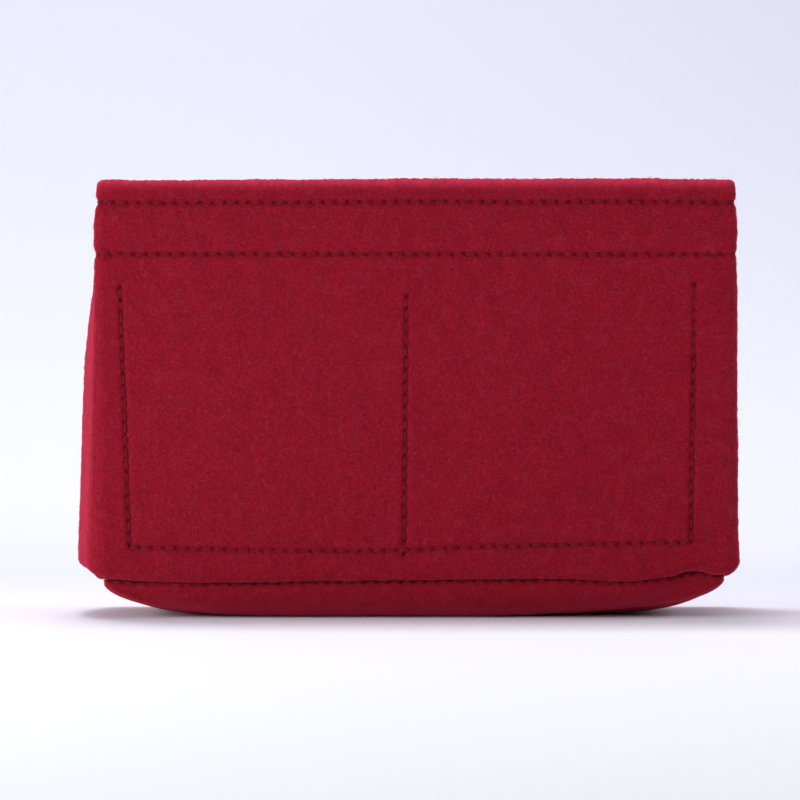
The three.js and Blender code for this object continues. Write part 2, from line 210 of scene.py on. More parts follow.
def uneven(points, height, length, seed, count):
    """How far each point stands off in a gentle random swell of a given height. Its hills are
    about a given length apart, and it is the sum of a count of waves."""
    random = np.random.default_rng(seed)
    total = np.zeros(points.shape[:-1])
    for _ in range(count):
        direction = random.normal(size=3)
        direction *= 2 * math.pi / (length * random.uniform(0.7, 1.5) * np.linalg.norm(direction))
        total += np.cos(points @ direction + random.uniform(0, 2 * math.pi))
    return height * (total / math.sqrt(2 * count))


def grid_normals(points):
    """Normals of a grid of points, rows going up and columns going across."""
    up = np.gradient(points, axis=0)
    across = np.gradient(points, axis=1)
    normals = np.cross(across, up)
    return normals / np.maximum(np.linalg.norm(normals, axis=-1, keepdims=True), 1e-12)


def nearest(points, targets):
    """Distance from each point to the nearest target."""
    tree = kdtree.KDTree(len(targets))
    for index, target in enumerate(targets):
        tree.insert(target, index)
    tree.balance()
    flat = points.reshape(-1, 3)
    return np.array([tree.find(p)[2] for p in flat]).reshape(points.shape[:-1])


def along(points, values, spacing):
    """Points at an even spacing along a line, with the directions that go with them."""
    lengths = np.concatenate([[0], np.cumsum(np.linalg.norm(np.diff(points, axis=0), axis=1))])
    places = even(0, lengths[-1], spacing)
    new_points = np.stack([np.interp(places, lengths, points[:, k]) for k in range(3)], axis=1)
    new_values = np.stack([np.interp(places, lengths, values[:, k]) for k in range(3)], axis=1)
    new_values /= np.linalg.norm(new_values, axis=1, keepdims=True)
    return new_points, new_values


# The shape of the bag

# The base seam wanders, as it was sewn by eye. These are its rises as shares of the gusset rise,
# at places from left to right as shares of half the width. A rise is the mean of the rises at the
# soft shares to each side of a place.
SEAM_PLACE_SHARES = (-1, -0.95, -0.89, -0.79, -0.57, -0.38, 0, 0.25, 0.48, 0.7, 0.83, 0.92, 0.97, 1)
SEAM_RISE_SHARES = (0.66, 0.52, 0.42, 0.36, 0.38, 0.5, 0.6, 0.7, 0.75, 0.42, 0.8, 1.5, 1.35, 1)
SEAM_SOFT_SHARES = (-0.03, -0.015, 0, 0.015, 0.03)

# Where along a long wall the bend at its foot starts to widen, and over how much more it does
LONG_BEND_END_SHARE, LONG_BEND_FADE_SHARE = 0.72, 0.22

# A gusset bulges most a little above its foot, and keeps most of the bulge nearly up to the hem
BULGE_PEAK_SHARE = 0.04
BULGE_POWER = 7

# The turned-in felt of a corner ends below the hem by the clearance. Its inner outline bends at
# these shares of the way round the corner.
HEM_CLEARANCE = 1.5 * MM
LIP_STOP_SHARES = (0, 1 / 3, 2 / 3, 1)

# How far the felt turns before it meets a corner seam, where it is creased and where it is soft
CREASED_TURN, SOFT_TURN = math.radians(48), math.radians(50)

# The grids of felt: their steps round a corner seam, round the foot and round the fold
CORNER_STEPS = 9
FOOT_STEPS = 12
FOLD_STEPS = 14

# Rows of the bottom allowance are this far apart, and the rows that are added to make up their
# number less. Rows of the hem are apart by this share of the wall's own spacing.
ALLOWANCE_SPACING = 1.2 * MM
ADDED_ROW_SPACING = 0.5 * MM
HEM_SPACING_SHARE = 1.1

# The side of the felt that shows has this many steps for each step of its other side
COARSE = 3

# The fold is squarer on the gussets and at the ends of the long walls, from this share of half the
# width on, and fully so a little further. With a power of 1 it would be round.
SQUARE_START_SHARE, SQUARE_FADE_SHARE = 0.95, 0.04
SQUARE_POWER = 0.55


class Wall:
    """One side of the bag in its own frame: x across it, -y out of the bag. Its two corners, at low
    and at high x, are each a turn of the felt and how much rounder the corner is at the foot."""

    def __init__(self, bag, foot, hem, turn, long_wall, bulge, low_corner, high_corner):
        self.bag, self.foot, self.hem = bag, foot, hem
        self.turn, self.long_wall, self.bulge = turn, long_wall, bulge
        self.corners = low_corner, high_corner

    def taper(self, height):
        """0 at the height of the foot, 1 at the top edge."""
        return (height - self.foot.seam) / (self.bag.top - self.foot.seam)

    def half_width(self, height):
        return blend(self.bag.foot_half_width, self.bag.top_half_width, self.taper(height))

    def half_depth(self, height):
        return blend(self.bag.foot_half_depth, self.bag.top_half_depth, self.taper(height))

    def half(self, height):
        """Half the width of this wall."""
        return self.half_width(height) if self.long_wall else self.half_depth(height)

    def out(self, height):
        """How far out from the middle of the bag this wall stands."""
        return self.half_depth(height) if self.long_wall else self.half_width(height)

    def reach(self, side, height):
        """Radius of the rounded corner on a side, its turn, and how far in the rounding starts."""
        low_corner, high_corner = self.corners
        full_turn = np.where(side < 0, low_corner[0], high_corner[0])
        extra = np.where(side < 0, low_corner[1], high_corner[1])
        radius = self.bag.corner + extra * np.clip(1 - self.taper(height), 0, 1)
        turn = blend(QUARTER / 2, full_turn, self.allowance(height))
        return radius, turn, radius * (1 + np.sin(turn) - np.cos(turn))

    def seam(self, x):
        """Height of the base seam below a place across the wall."""
        if not self.long_wall:
            return np.full_like(x, self.foot.seam + self.foot.rise)
        place = x * math.cos(self.turn) / self.bag.foot_half_width
        rise = sum(np.interp(place + d, SEAM_PLACE_SHARES, SEAM_RISE_SHARES) for d in SEAM_SOFT_SHARES)
        return self.foot.seam + self.foot.rise * rise / len(SEAM_SOFT_SHARES)

    def bend(self, x):
        """Radius of the turn at the foot, at a place across the wall."""
        if not self.long_wall:
            return np.full_like(x, self.foot.bend)
        place = np.abs(x) / self.bag.foot_half_width
        corner = smooth((place - LONG_BEND_END_SHARE) / LONG_BEND_FADE_SHARE)
        return blend(self.foot.long_bend, self.foot.bend, corner)

    def rim(self, x, half_length, corner):
        """Height of the base seam above a place on the edge of the base."""
        column = np.clip(x / (half_length - corner), -1, 1)
        return self.seam(column * self.bag.foot_half_width)

    def swell(self, height):
        """How far the middle of the wall swells out."""
        start = self.foot.seam if self.long_wall else self.foot.seam + self.foot.rise
        body = np.clip((height - start) / (self.bag.top - self.hem.depth - start), 0, 1)
        if self.long_wall:
            return self.bulge * np.sin(math.pi * body)
        return self.bulge * (1 - body**BULGE_POWER) * smooth(body / BULGE_PEAK_SHARE)

    def allowance(self, height):
        """1 where the seam allowance has its full width, 0 in the bend and the hem."""
        foot = self.foot.seam + self.foot.rise + self.foot.bend
        head = self.bag.top - self.hem.depth - HEM_CLEARANCE
        return np.clip(np.minimum(height - foot, head - height) / self.bag.allowance_fade, 0, 1)

    def place(self, column, step, inset, height, rounding, inside=False):
        """Points of the wall. Column is -1 to 1 across the straight part; step is 0 there and
        grows to 1 at the corner seam. Rounding is 1 where the corner is round. Inside is for the
        side that faces into the bag, where the felt is turned in at the corners."""
        bag = self.bag
        allowance = self.allowance(height)
        radius, turn, reach = self.reach(column, height)
        half = self.half(height) - bag.seam_gap * DIAGONAL - inset
        plain = reach * (step - 1)
        round_x = radius * np.sin(turn * step) - reach
        round_y = radius * (np.cos(turn * step) - 1)
        corner_x = blend(plain, round_x, rounding)
        corner_y = round_y * rounding
        if inside:
            tip = -bag.allowance * DIAGONAL
            side = bag.allowance_felt * DIAGONAL
            x_lip = np.interp(step, LIP_STOP_SHARES, (1, 0, 0, 0)) * -reach
            x_lip = x_lip + np.interp(step, LIP_STOP_SHARES, (0, -2 * side, tip - side, tip))
            y_lip = np.interp(step, LIP_STOP_SHARES, (0, 0, tip + side, tip))
            corner_x = blend(corner_x, x_lip, allowance)
            corner_y = blend(corner_y, y_lip, allowance)
        straight = step <= 0
        across = np.where(straight, column * (half - reach), np.sign(column) * (half + corner_x))
        bow = self.swell(height) * (1 - np.where(straight, column, 1) ** 2)
        outward = self.out(height) - inset + np.where(straight, bow, corner_y)
        return self.turned(np.stack(np.broadcast_arrays(across, -outward, height), axis=-1))

    def turned(self, points):
        """From the wall's own frame to the bag's."""
        cos, sin = round(math.cos(self.turn)), round(math.sin(self.turn))
        lean = blend(self.bag.foot_lean, self.bag.top_lean, np.clip(self.taper(points[..., 2]), 0, 1))
        x = points[..., 0] * cos - points[..., 1] * sin + MIDDLE_X + lean
        y = points[..., 0] * sin + points[..., 1] * cos
        return np.stack([x, y, points[..., 2]], axis=-1)

    def spot(self, across, inset, height):
        """Points on the straight part, at a length across it."""
        column = across / (self.half(height) - inset - self.reach(across, height)[2])
        outward = self.out(height) - inset + self.swell(height) * (1 - column**2)
        return self.turned(np.stack(np.broadcast_arrays(across, -outward, height), axis=-1))

    def outwards(self, count):
        """Direction out of the wall, once for each point."""
        return np.tile([math.sin(self.turn), -math.cos(self.turn), 0], (count, 1))


def columns_of(wall, spacing):
    """Column and step arrays across a wall, corner to corner."""
    half = wall.bag.top_half_width if wall.long_wall else wall.bag.top_half_depth
    straight = even(-1, 1, spacing / half, COARSE)
    steps = np.linspace(0, 1, CORNER_STEPS + 1)[1:]
    ones = np.ones(CORNER_STEPS)
    column = np.concatenate([-ones, straight, ones])
    step = np.concatenate([steps[::-1], np.zeros(len(straight)), steps])
    return column, step


def walls_of(scene):
    """The four walls, in the order that a row of stitches meets them, from the back."""
    bag, foot, hem = scene.bag_sizes, scene.foot_sizes, scene.hem_sizes
    left, right = (CREASED_TURN, bag.left_round), (SOFT_TURN, bag.right_round)
    kinds = {
        "back_panel": (2 * QUARTER, True, bag.swell, right, left),
        "left_gusset": (-QUARTER, False, bag.left_bulge, left, left),
        "front_panel": (0, True, bag.swell, left, right),
        "right_gusset": (QUARTER, False, bag.right_bulge, right, right),
    }
    return {name: Wall(bag, foot, hem, *kind) for name, kind in kinds.items()}


def wall_path(wall, spacing):
    """The outer side of a wall's felt from its bottom allowance over the top to the hem's edge.
    Each row has its inset and height, both as bends and as a length, its lean, and how far its
    height is measured from the top instead of from the base seam. The rows of the fold have only
    their lean, because wall_grid rounds them."""
    bag, foot, hem = wall.bag, wall.foot, wall.hem
    top = bag.top - hem.crown
    rows = [(1, inset, 0, 0, -QUARTER, 0) for inset in even(bag.allowance, 0, ALLOWANCE_SPACING)[:-1]]
    for lean in np.linspace(-QUARTER, 0, FOOT_STEPS + 1)[:-1]:
        rows.append((1 - math.cos(lean), 0, 1 + math.sin(lean), 0, lean, 0))
    for grown in even(0, 1, spacing / (top - foot.seam - foot.bend))[:-1]:
        rows.append((0, 0, 1 - grown, top * grown, 0, grown))
    for lean in np.linspace(0, math.pi, FOLD_STEPS + 1)[:-1]:
        rows.append((0, 0, 0, top, lean, 1))
    for height in even(top, bag.top - hem.depth, HEM_SPACING_SHARE * spacing):
        rows.append((0, 2 * bag.felt + hem.slit, 0, height, math.pi, 1))
    while (len(rows) - 1) % COARSE:
        rows.insert(0, (1, rows[0][1] + ADDED_ROW_SPACING, 0, 0, -QUARTER, 0))
    return np.array(rows)


def wall_grid(wall, spacing, outer, coarse=1):
    """Points of one side of a wall's felt, in rows from its bottom allowance to the hem's edge."""
    bag, hem = wall.bag, wall.hem
    column, step = columns_of(wall, spacing)
    column, step = column[::coarse][None, :], step[::coarse][None, :]
    rows = [v[::coarse, None] for v in wall_path(wall, spacing).T]
    bends_in, inset, bends_up, height, lean, grown = rows
    across = column * bag.foot_half_width
    inset = inset + bends_in * wall.bend(across)
    seam = wall.seam(across) + bag.seam_gap / 2
    height = height + bends_up * wall.bend(across) + seam * (1 - grown)
    square = smooth((np.abs(column) - SQUARE_START_SHARE) / SQUARE_FADE_SHARE)
    power = blend(1, SQUARE_POWER, square if wall.long_wall else 1.0)
    folded = (lean > 0) & (lean < math.pi)
    facing = np.sign(np.cos(lean)) * np.abs(np.cos(lean)) ** power
    rising = bag.top - hem.crown + (hem.crown + hem.nap) * np.abs(np.sin(lean)) ** power
    inset = np.where(folded, (bag.felt + hem.slit / 2) * (1 - facing), inset)
    height = np.where(folded, rising, height)
    if outer:
        return wall.place(column, step, inset, height, (1 + np.cos(lean)) / 2)
    inner_height = height - bag.felt * np.sin(lean)
    inner = wall.place(column, step, inset + bag.felt * np.cos(lean), inner_height, 0)
    lipped = wall.place(column, step, inset + bag.felt, height, 0, inside=True)
    upright = np.abs(lean) < 1e-9
    return np.where(upright[..., None], lipped, inner)


def ring(walls, inset, height, rounding, outward):
    """A level line once round the bag from the middle of the back. Its directions point out of the
    bag where outward is 1 and into it where that is -1."""
    points, normals = [], []
    order = ["back_panel", "left_gusset", "front_panel", "right_gusset", "back_panel"]
    for index, name in enumerate(order):
        wall = walls[name]
        column, step = columns_of(wall, LINE_SPACING)
        middle = len(column) // 2
        first = middle if index == 0 else 1
        last = middle if index == len(order) - 1 else None
        column, step = column[first:last], step[first:last]
        level = np.full_like(column, height)
        points.append(wall.place(column, step, inset, level, rounding))
        angle = wall.turn + QUARTER / 2 * np.sign(column) * step
        normals.append(np.stack([np.sin(angle), -np.cos(angle), np.zeros(len(angle))], axis=1))
    return np.concatenate(points), np.concatenate(normals) * outward


# Seams: the needle holes of every row, and the way the thread faces there

# The bottom seam of a pocket wanders too: its rises as shares of the wander, at places from left
# to right as shares of the way from the middle to the foot of the left seam
POCKET_FOOT_PLACE_SHARES = (-1, -0.78, -0.4, -0.1, 0, 0.2, 0.5, 0.8, 1)
POCKET_FOOT_RISE_SHARES = (0.3, 0.0, -0.3, -0.3, -0.1, 0.25, 0.55, 0.9, 1)
POCKET_FOOT_WANDER = 2.2 * MM

# How far the centre seam of the pockets runs on below the bottom seam
CENTRE_OVERRUN = 1.2 * MM

# Gap between a pocket patch and the wall, and how far the base seam's thread is below the seam
PATCH_GAP = 0.3 * MM
BASE_THREAD_DROP = 0.1 * MM

# The points of a seam's line are this far apart
LINE_SPACING = 0.8 * MM

# Points round the edge of the base, and round the outline that they are spaced along
BASE_POINTS = 900
OUTLINE_POINTS = 720

# The thread draws each hole out by shares of the slot size and leans it by shares of the slant
SLOT_REACH_SHARES = (0.6, 1.25)
SLOT_LEAN_SHARES = (0.5, 2.0)

# How strongly the felt is darkened along a row of stitches, partly for its matting and partly as painted
# shade in the groove, where it is 1 at a hole
ROW_MATTED_AND_SHADED = 0.42


def side_seam(pocket, side, height):
    """How far a side seam is from the middle; side is -1 on the left and 1 on the right."""
    top, foot = pocket.right_half, pocket.right_foot
    if side < 0:
        top, foot = pocket.left_half, pocket.left_foot
    level = (height - pocket.seam_foot) / (pocket.left_top - pocket.seam_foot)
    return side * blend(foot, top, level)


def pocket_foot(pocket, across):
    """Height of the bottom seam, which wanders."""
    place = np.asarray(across) / pocket.left_foot
    wander = np.interp(place, POCKET_FOOT_PLACE_SHARES, POCKET_FOOT_RISE_SHARES)
    return pocket.seam_foot + POCKET_FOOT_WANDER * wander


def pocket_outline(wall, pocket, inset):
    """The U of the side and bottom seams."""
    left, right = -pocket.left_foot, pocket.right_foot
    down = even(pocket.left_top, float(pocket_foot(pocket, left)), LINE_SPACING)
    floor = even(left, right, LINE_SPACING)[1:-1]
    up = even(float(pocket_foot(pocket, right)), pocket.right_top, LINE_SPACING)
    sides = side_seam(pocket, -1, down), side_seam(pocket, 1, up)
    across = np.concatenate([sides[0], floor, sides[1]])
    height = np.concatenate([down, pocket_foot(pocket, floor), up])
    return wall.spot(across, inset, height)


def pocket_centre(wall, pocket, inset):
    """The seam that parts the two pockets."""
    foot = float(pocket_foot(pocket, pocket.shift)) - CENTRE_OVERRUN
    height = even(pocket.centre_top, foot, LINE_SPACING)
    return wall.spot(np.full_like(height, pocket.shift), inset, height)


def rounded_ring(half_length, half_depth, radius):
    """Points round a rounded rectangle, spaced evenly along it, from the middle of its +X end."""
    angle = np.linspace(0, 2 * math.pi, OUTLINE_POINTS, endpoint=False) + math.pi / OUTLINE_POINTS
    corner_x = np.sign(np.cos(angle)) * (half_length - radius)
    corner_y = np.sign(np.sin(angle)) * (half_depth - radius)
    outline = np.stack([corner_x + radius * np.cos(angle), corner_y + radius * np.sin(angle)], axis=1)
    closed = np.concatenate([outline[-1:], outline, outline[:1]])
    lengths = np.concatenate([[0], np.cumsum(np.linalg.norm(np.diff(closed, axis=0), axis=1))])
    places = np.linspace(lengths[0], lengths[-2], BASE_POINTS, endpoint=False)
    return np.stack([np.interp(places, lengths, closed[:, k]) for k in range(2)], axis=1)


def stretched(wall, spots, length, depth):
    """The edge of the base drawn out to its two ends, and to the tighter bend of the long walls."""
    foot = wall.foot
    share_right = spots[:, 0] / length
    reach = foot.right_reach * smooth(share_right) - foot.left_reach * smooth(-share_right)
    spare = foot.bend - wall.bend(share_right * wall.bag.foot_half_width)
    return np.column_stack([spots[:, 0] + reach, spots[:, 1] * (1 + spare / depth)])


def base_rim(wall, behind):
    """A line round the edge of the base, behind it and a little below it, with directions outwards."""
    bag, foot = wall.bag, wall.foot
    inset = foot.bend + foot.setback + behind
    length, depth = bag.foot_half_width - inset, bag.foot_half_depth - inset
    radius = foot.edge_corner - behind
    spots = rounded_ring(length, depth, radius)
    height = wall.rim(spots[:, 0], length, radius) - BASE_THREAD_DROP
    spots = stretched(wall, spots, length, depth)
    run = np.roll(spots, -1, axis=0) - np.roll(spots, 1, axis=0)
    run /= np.linalg.norm(run, axis=1, keepdims=True)
    facing = np.column_stack([run[:, 1], -run[:, 0], np.zeros(BASE_POINTS)])
    return np.column_stack([spots[:, 0] + MIDDLE_X + bag.foot_lean, spots[:, 1], height]), facing


def all_seams(scene):
    """Every row of stitches by name: needle holes, the directions there, and a line of points."""
    bag, foot, hem = scene.bag_sizes, scene.foot_sizes, scene.hem_sizes
    pocket, stitch = scene.pocket_sizes, scene.stitch_sizes
    walls = walls_of(scene)
    lines = {}
    inner = 2 * bag.felt + hem.slit
    for row, depth in (("upper_hem", hem.upper), ("lower_hem", hem.lower)):
        lines[row] = ring(walls, 0.0, bag.top - depth, 1, 1)
        lines[row + "_under"] = ring(walls, inner, bag.top - depth, 0, -1)
    lines["base_seam"] = base_rim(walls["front_panel"], stitch.thread)
    patch = bag.felt + PATCH_GAP + pocket.felt
    for side in ("front", "back"):
        wall = walls[side + "_panel"]
        for under, inset in (("", 0.0), ("_under", patch)):
            for part, route in (("outline", pocket_outline), ("centre", pocket_centre)):
                points = route(wall, pocket, inset)
                facing = wall.outwards(len(points)) * (-1 if under else 1)
                lines[f"{side}_pocket_{part}{under}"] = (points, facing)
    corners = {
        "front_right_seam": "front_panel", "back_right_seam": "right_gusset",
        "back_left_seam": "back_panel", "front_left_seam": "left_gusset",
    }
    low = foot.seam + foot.rise + foot.bend + bag.allowance_fade / 2
    high = bag.top - hem.depth - bag.allowance_fade / 2
    for name, wall_name in corners.items():
        wall = walls[wall_name]
        height = even(low, high, LINE_SPACING)
        ones = np.ones_like(height)
        points = wall.place(ones, ones, 0.0, height, 1)
        angle = wall.turn + QUARTER / 2
        facing = np.tile([math.sin(angle), -math.cos(angle), 0], (len(points), 1))
        lines[name] = (points, facing)
    return {name: (*along(p, f, stitch.pitch), p) for name, (p, f) in lines.items()}


def slots(seam, stitch):
    """The needle holes, each drawn out into a short slanting slot of its own length."""
    holes, facing = seam[:2]
    run = np.gradient(holes, axis=0)
    run /= np.linalg.norm(run, axis=1, keepdims=True)
    side = np.cross(run, facing)
    random = np.random.default_rng(len(holes))
    reach = stitch.slot * random.uniform(*SLOT_REACH_SHARES, (len(holes), 1))
    lean = stitch.slant * random.uniform(*SLOT_LEAN_SHARES, (len(holes), 1))
    return np.concatenate([holes, holes + run * reach + side * lean, holes - run * reach - side * lean])


def pressed(points, normals, seams, names, stitch):
    """Felt pressed in along rows of stitches and dimpled at their holes, and how much it is darkened
    there, partly for its matting and partly as painted shade in the grooves and holes.
    """
    holes = np.concatenate([slots(seams[name], stitch) for name in names])
    lines = np.concatenate([seams[name][2] for name in names])
    to_line = nearest(points, lines) / stitch.groove_reach
    to_hole = nearest(points, holes) / stitch.hole_reach
    groove, dimple = np.exp(-(to_line**2)), np.exp(-(to_hole**2))
    depth = stitch.groove * groove + stitch.hole * dimple
    return points - normals * depth[..., None], np.clip(ROW_MATTED_AND_SHADED * groove + dimple, 0, 1)


# Meshes

# Edges of felt that turn by more than this stay sharp
SHARP_ANGLE = math.radians(55)


def new_object(name, points, faces, material, smooth_angle=None):
    """A smooth mesh that rides the bag, with sharp edges where they turn by more than an angle."""
    mesh = bpy.data.meshes.new(name)
    mesh.from_pydata(points.tolist(), [], faces)
    mesh.materials.append(material)
    mesh.shade_smooth()
    if smooth_angle is not None:
        mesh.set_sharp_from_angle(angle=smooth_angle)
    mesh.update()
    piece = bpy.data.objects.new(name, mesh)
    bpy.context.scene.collection.objects.link(piece)
    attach(piece, BODY)
    return piece


def grid_faces(rows, columns, start=0, flip=False):
    """Faces of a grid of points whose first point has a given number."""
    base = start + np.arange(rows - 1)[:, None] * columns + np.arange(columns - 1)[None, :]
    corners = [base, base + 1, base + columns + 1, base + columns]
    if flip:
        corners = corners[::-1]
    return np.stack(corners, axis=-1).reshape(-1, 4).tolist()


def tube_faces(rings, sides, start=0):
    """Faces of a closed tube of rings of points: its sides, and then its first and last end."""
    faces = []
    last = start + (rings - 1) * sides
    for ring_start in range(start, last, sides):
        for k in range(sides):
            a, b = ring_start + k, ring_start + (k + 1) % sides
            faces.append((a, b, b + sides, a + sides))
    faces.append(tuple(reversed(range(start, start + sides))))
    faces.append(tuple(range(last, last + sides)))
    return faces


def rim_faces(fine, coarse, flip):
    """Triangles between a fine edge and an edge with fewer points, one for each COARSE steps."""
    faces = []
    for index in range(len(coarse) - 1):
        first, second = coarse[index], coarse[index + 1]
        for step in range(COARSE):
            a = fine[index * COARSE + step]
            b = fine[index * COARSE + step + 1]
            faces.append((a, first, b) if flip else (a, b, first))
        last = fine[(index + 1) * COARSE]
        faces.append((last, first, second) if flip else (last, second, first))
    return faces


def mark(piece, name, values):
    """Keep a value at each point of a piece, for its material."""
    layer = piece.data.attributes.new(name, "FLOAT", "POINT")
    layer.data.foreach_set("value", values.reshape(-1).astype(np.float32))


def felt_sheet(name, outer, inner, matted_and_shaded, material):
    """A closed piece of felt with a fine outer side and a coarse inner side. The values
    matted_and_shaded say how much the stitches press the outer side flat and how much shade is painted
    on it there, up to 1 at a needle hole."""
    rows, columns = outer.shape[:2]
    few_rows, few_columns = inner.shape[:2]
    count = rows * columns
    faces = grid_faces(rows, columns)
    faces += grid_faces(few_rows, few_columns, count, flip=True)
    fine = np.arange(count).reshape(rows, columns)
    few = np.arange(few_rows * few_columns).reshape(few_rows, few_columns) + count
    faces += rim_faces(fine[0].tolist(), few[0].tolist(), True)
    faces += rim_faces(fine[-1].tolist(), few[-1].tolist(), False)
    faces += rim_faces(fine[:, 0].tolist(), few[:, 0].tolist(), False)
    faces += rim_faces(fine[:, -1].tolist(), few[:, -1].tolist(), True)
    points = np.concatenate([outer.reshape(-1, 3), inner.reshape(-1, 3)])
    piece = new_object(name, points, faces, material, SHARP_ANGLE)
    mark(piece, "matted_and_shaded", np.concatenate([matted_and_shaded.reshape(-1), np.zeros(inner[..., 0].size)]))
    return piece


# The walls

# Spacing of the points of a wall's felt, and how many loose fibres it has
FRONT_SPACING, WALL_SPACING = 0.5 * MM, 0.8 * MM
FRONT_FIBRES, BACK_FIBRES, GUSSET_FIBRES = 12000, 6000, 3000

# How uneven the felt is. Each kind has its height, its length, a seed and a count of waves. The
# height of the last two is worked out at each point.
WALL_SWELL = (0.35 * MM, 46 * MM, 3, 7)
WALL_LUMPS = (0.13 * MM, 9 * MM, 5, 12)
WALL_GRAIN = (0.07 * MM, 3.2 * MM, 6, 20)
FINE_GRAIN = (1.5 * MM, 7, 24)
TOP_WAVE = (52 * MM, 8, 7)

# Height of the fine grain on plain felt, and what brushed felt adds to it
PLAIN_GRAIN_HEIGHT, BRUSHED_GRAIN_HEIGHT = 0.08 * MM, 0.09 * MM

# The swell fades out over this height towards the hem and towards the foot
SWELL_FADE = 10 * MM

# The felt is brushed up on the fold, and a highlight is painted on it there, over this share of the
# crown's height
BRUSHED_AND_HIGHLIT_CROWN_SHARE = 0.95
BRUSHED_AND_HIGHLIT_POWER = 1.5

# A soft dent in the front panel: the places across and up of its ends, and its size
DENT_ENDS = ((79 * MM, 18.5 * MM), (101 * MM, 24 * MM))
DENT_DEPTH = 0.4 * MM
DENT_REACH = 3 * MM
DENT_POINTS = 60


def brushed_and_highlit_at(height, top, crown):
    """How far the felt is brushed up at a height, and how strong the highlight painted on the fold is
    there, from 0 below the fold to 1 at its top.
    """
    return smooth((height - top) / (BRUSHED_AND_HIGHLIT_CROWN_SHARE * crown) + 1) ** BRUSHED_AND_HIGHLIT_POWER


def front_dent(wall, points):
    """Depth of the soft dent at points of the front panel."""
    ends = np.array([wall.spot(across, 0, height) for across, height in DENT_ENDS])
    line = blend(ends[0], ends[1], np.linspace(0, 1, DENT_POINTS)[:, None])
    return DENT_DEPTH * np.exp(-(nearest(points, line) / DENT_REACH) ** 2)


def sew_wall(scene, name, wall, seams):
    """One wall with its hem, pressed by its stitches and slightly uneven."""
    bag, hem, foot = scene.bag_sizes, scene.hem_sizes, scene.foot_sizes
    spacing = FRONT_SPACING if name == "front_panel" else WALL_SPACING
    outer = wall_grid(wall, spacing, True)
    inner = wall_grid(wall, spacing, False, COARSE)
    normals = grid_normals(outer)
    height = outer[..., 2]
    between = (bag.top - hem.upper - height) / (hem.lower - hem.upper)
    puff = hem.puff * np.sin(math.pi * np.clip(between, 0, 1))
    body = np.clip((bag.top - hem.depth - height) / SWELL_FADE, 0, 1)
    body *= np.clip((height - foot.seam - foot.bend) / SWELL_FADE, 0, 1)
    lumps = uneven(outer, *WALL_LUMPS) + uneven(outer, *WALL_GRAIN)
    grain_height = PLAIN_GRAIN_HEIGHT + BRUSHED_GRAIN_HEIGHT * brushed_and_highlit_at(height, bag.top, hem.crown)
    lumps += uneven(outer, grain_height, *FINE_GRAIN)
    swell = uneven(outer, *WALL_SWELL) * body
    outer = outer + normals * (puff + swell + lumps)[..., None]
    names = [n for n in seams if n.startswith(("upper", "lower", "base"))]
    side = name.split("_")[0]
    if wall.long_wall:
        names += [f"{side}_pocket_outline", f"{side}_pocket_centre"]
    outer, matted_and_shaded = pressed(outer, normals, seams, names, scene.stitch_sizes)
    fibres = BACK_FIBRES if wall.long_wall else GUSSET_FIBRES
    if name == "front_panel":
        outer = outer - normals * front_dent(wall, outer)[..., None]
        fibres = FRONT_FIBRES
    for points in (outer, inner):
        level = np.clip((points[..., 2] - bag.top + hem.lower) / hem.lower, 0, 1)
        points[..., 2] += uneven(points * [1, 1, 0], hem.wave * level, *TOP_WAVE)
    piece = felt_sheet(name + "_felt", outer, inner, matted_and_shaded, felt_material(scene))
    heights = np.concatenate([outer[..., 2].reshape(-1), inner[..., 2].reshape(-1)])
    # The fold's top gets a painted highlight, as strong as this mark
    mark(piece, "fold_highlight", brushed_and_highlit_at(heights, bag.top, hem.crown))
    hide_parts(name)
    loose_fibres(name + "_fibres", outer, fibres, len(name), scene)


# The base

# Rows of its grid: over the flat middle, up the bend, in along the turned-in allowance and back
# below it, down the inner side of the bend, and over the flat middle again
FLAT_SCALES = np.linspace(0.04, 0.96, 16)
BEND_ROWS = 26
INNER_BEND_ROWS = 19
ALLOWANCE_ROWS, ALLOWANCE_BACK_ROWS = 5, 5

# Where the underside starts to lift off the floor, as shares of the rest length to each side. Along
# the middle of its depth it lifts by this share, and fully towards the front and the back.
RIGHT_LIFT_START_SHARE, LEFT_LIFT_START_SHARE = 0.3, 0.6
MIDDLE_LIFT_SHARE = 0.15
LIFT_SLOPE, LIFT_START = 1.6, 0.6

BASE_LUMPS = (0.12 * MM, 11 * MM, 22, 12)
LUMPS_START_HEIGHT = 0.2 * MM


def base_rows(bag):
    """The base's profile from the middle of its underside to the middle of its upper side. Each row
    has its size as a share, its reach, rise and inset, and its lift."""
    angles = np.linspace(0, QUARTER, BEND_ROWS)
    into = np.linspace(0, bag.allowance, ALLOWANCE_ROWS + 1)[1:]
    back = np.linspace(bag.allowance, bag.felt, ALLOWANCE_BACK_ROWS)
    rows = [(scale, 0, 0, 0, 0) for scale in FLAT_SCALES]
    rows += [(1, math.sin(a), 1 - math.cos(a), 0, 0) for a in angles]
    rows += [(1, 1, 1, inset, 0) for inset in into]
    rows += [(1, 1, 1, inset, -bag.felt) for inset in back]
    rows += [
        (1, math.sin(a), 1 - math.cos(a), bag.felt * math.sin(a), bag.felt * math.cos(a))
        for a in reversed(angles[:INNER_BEND_ROWS])
    ]
    rows += [(scale, 0, 0, 0, bag.felt) for scale in reversed(FLAT_SCALES)]
    return rows


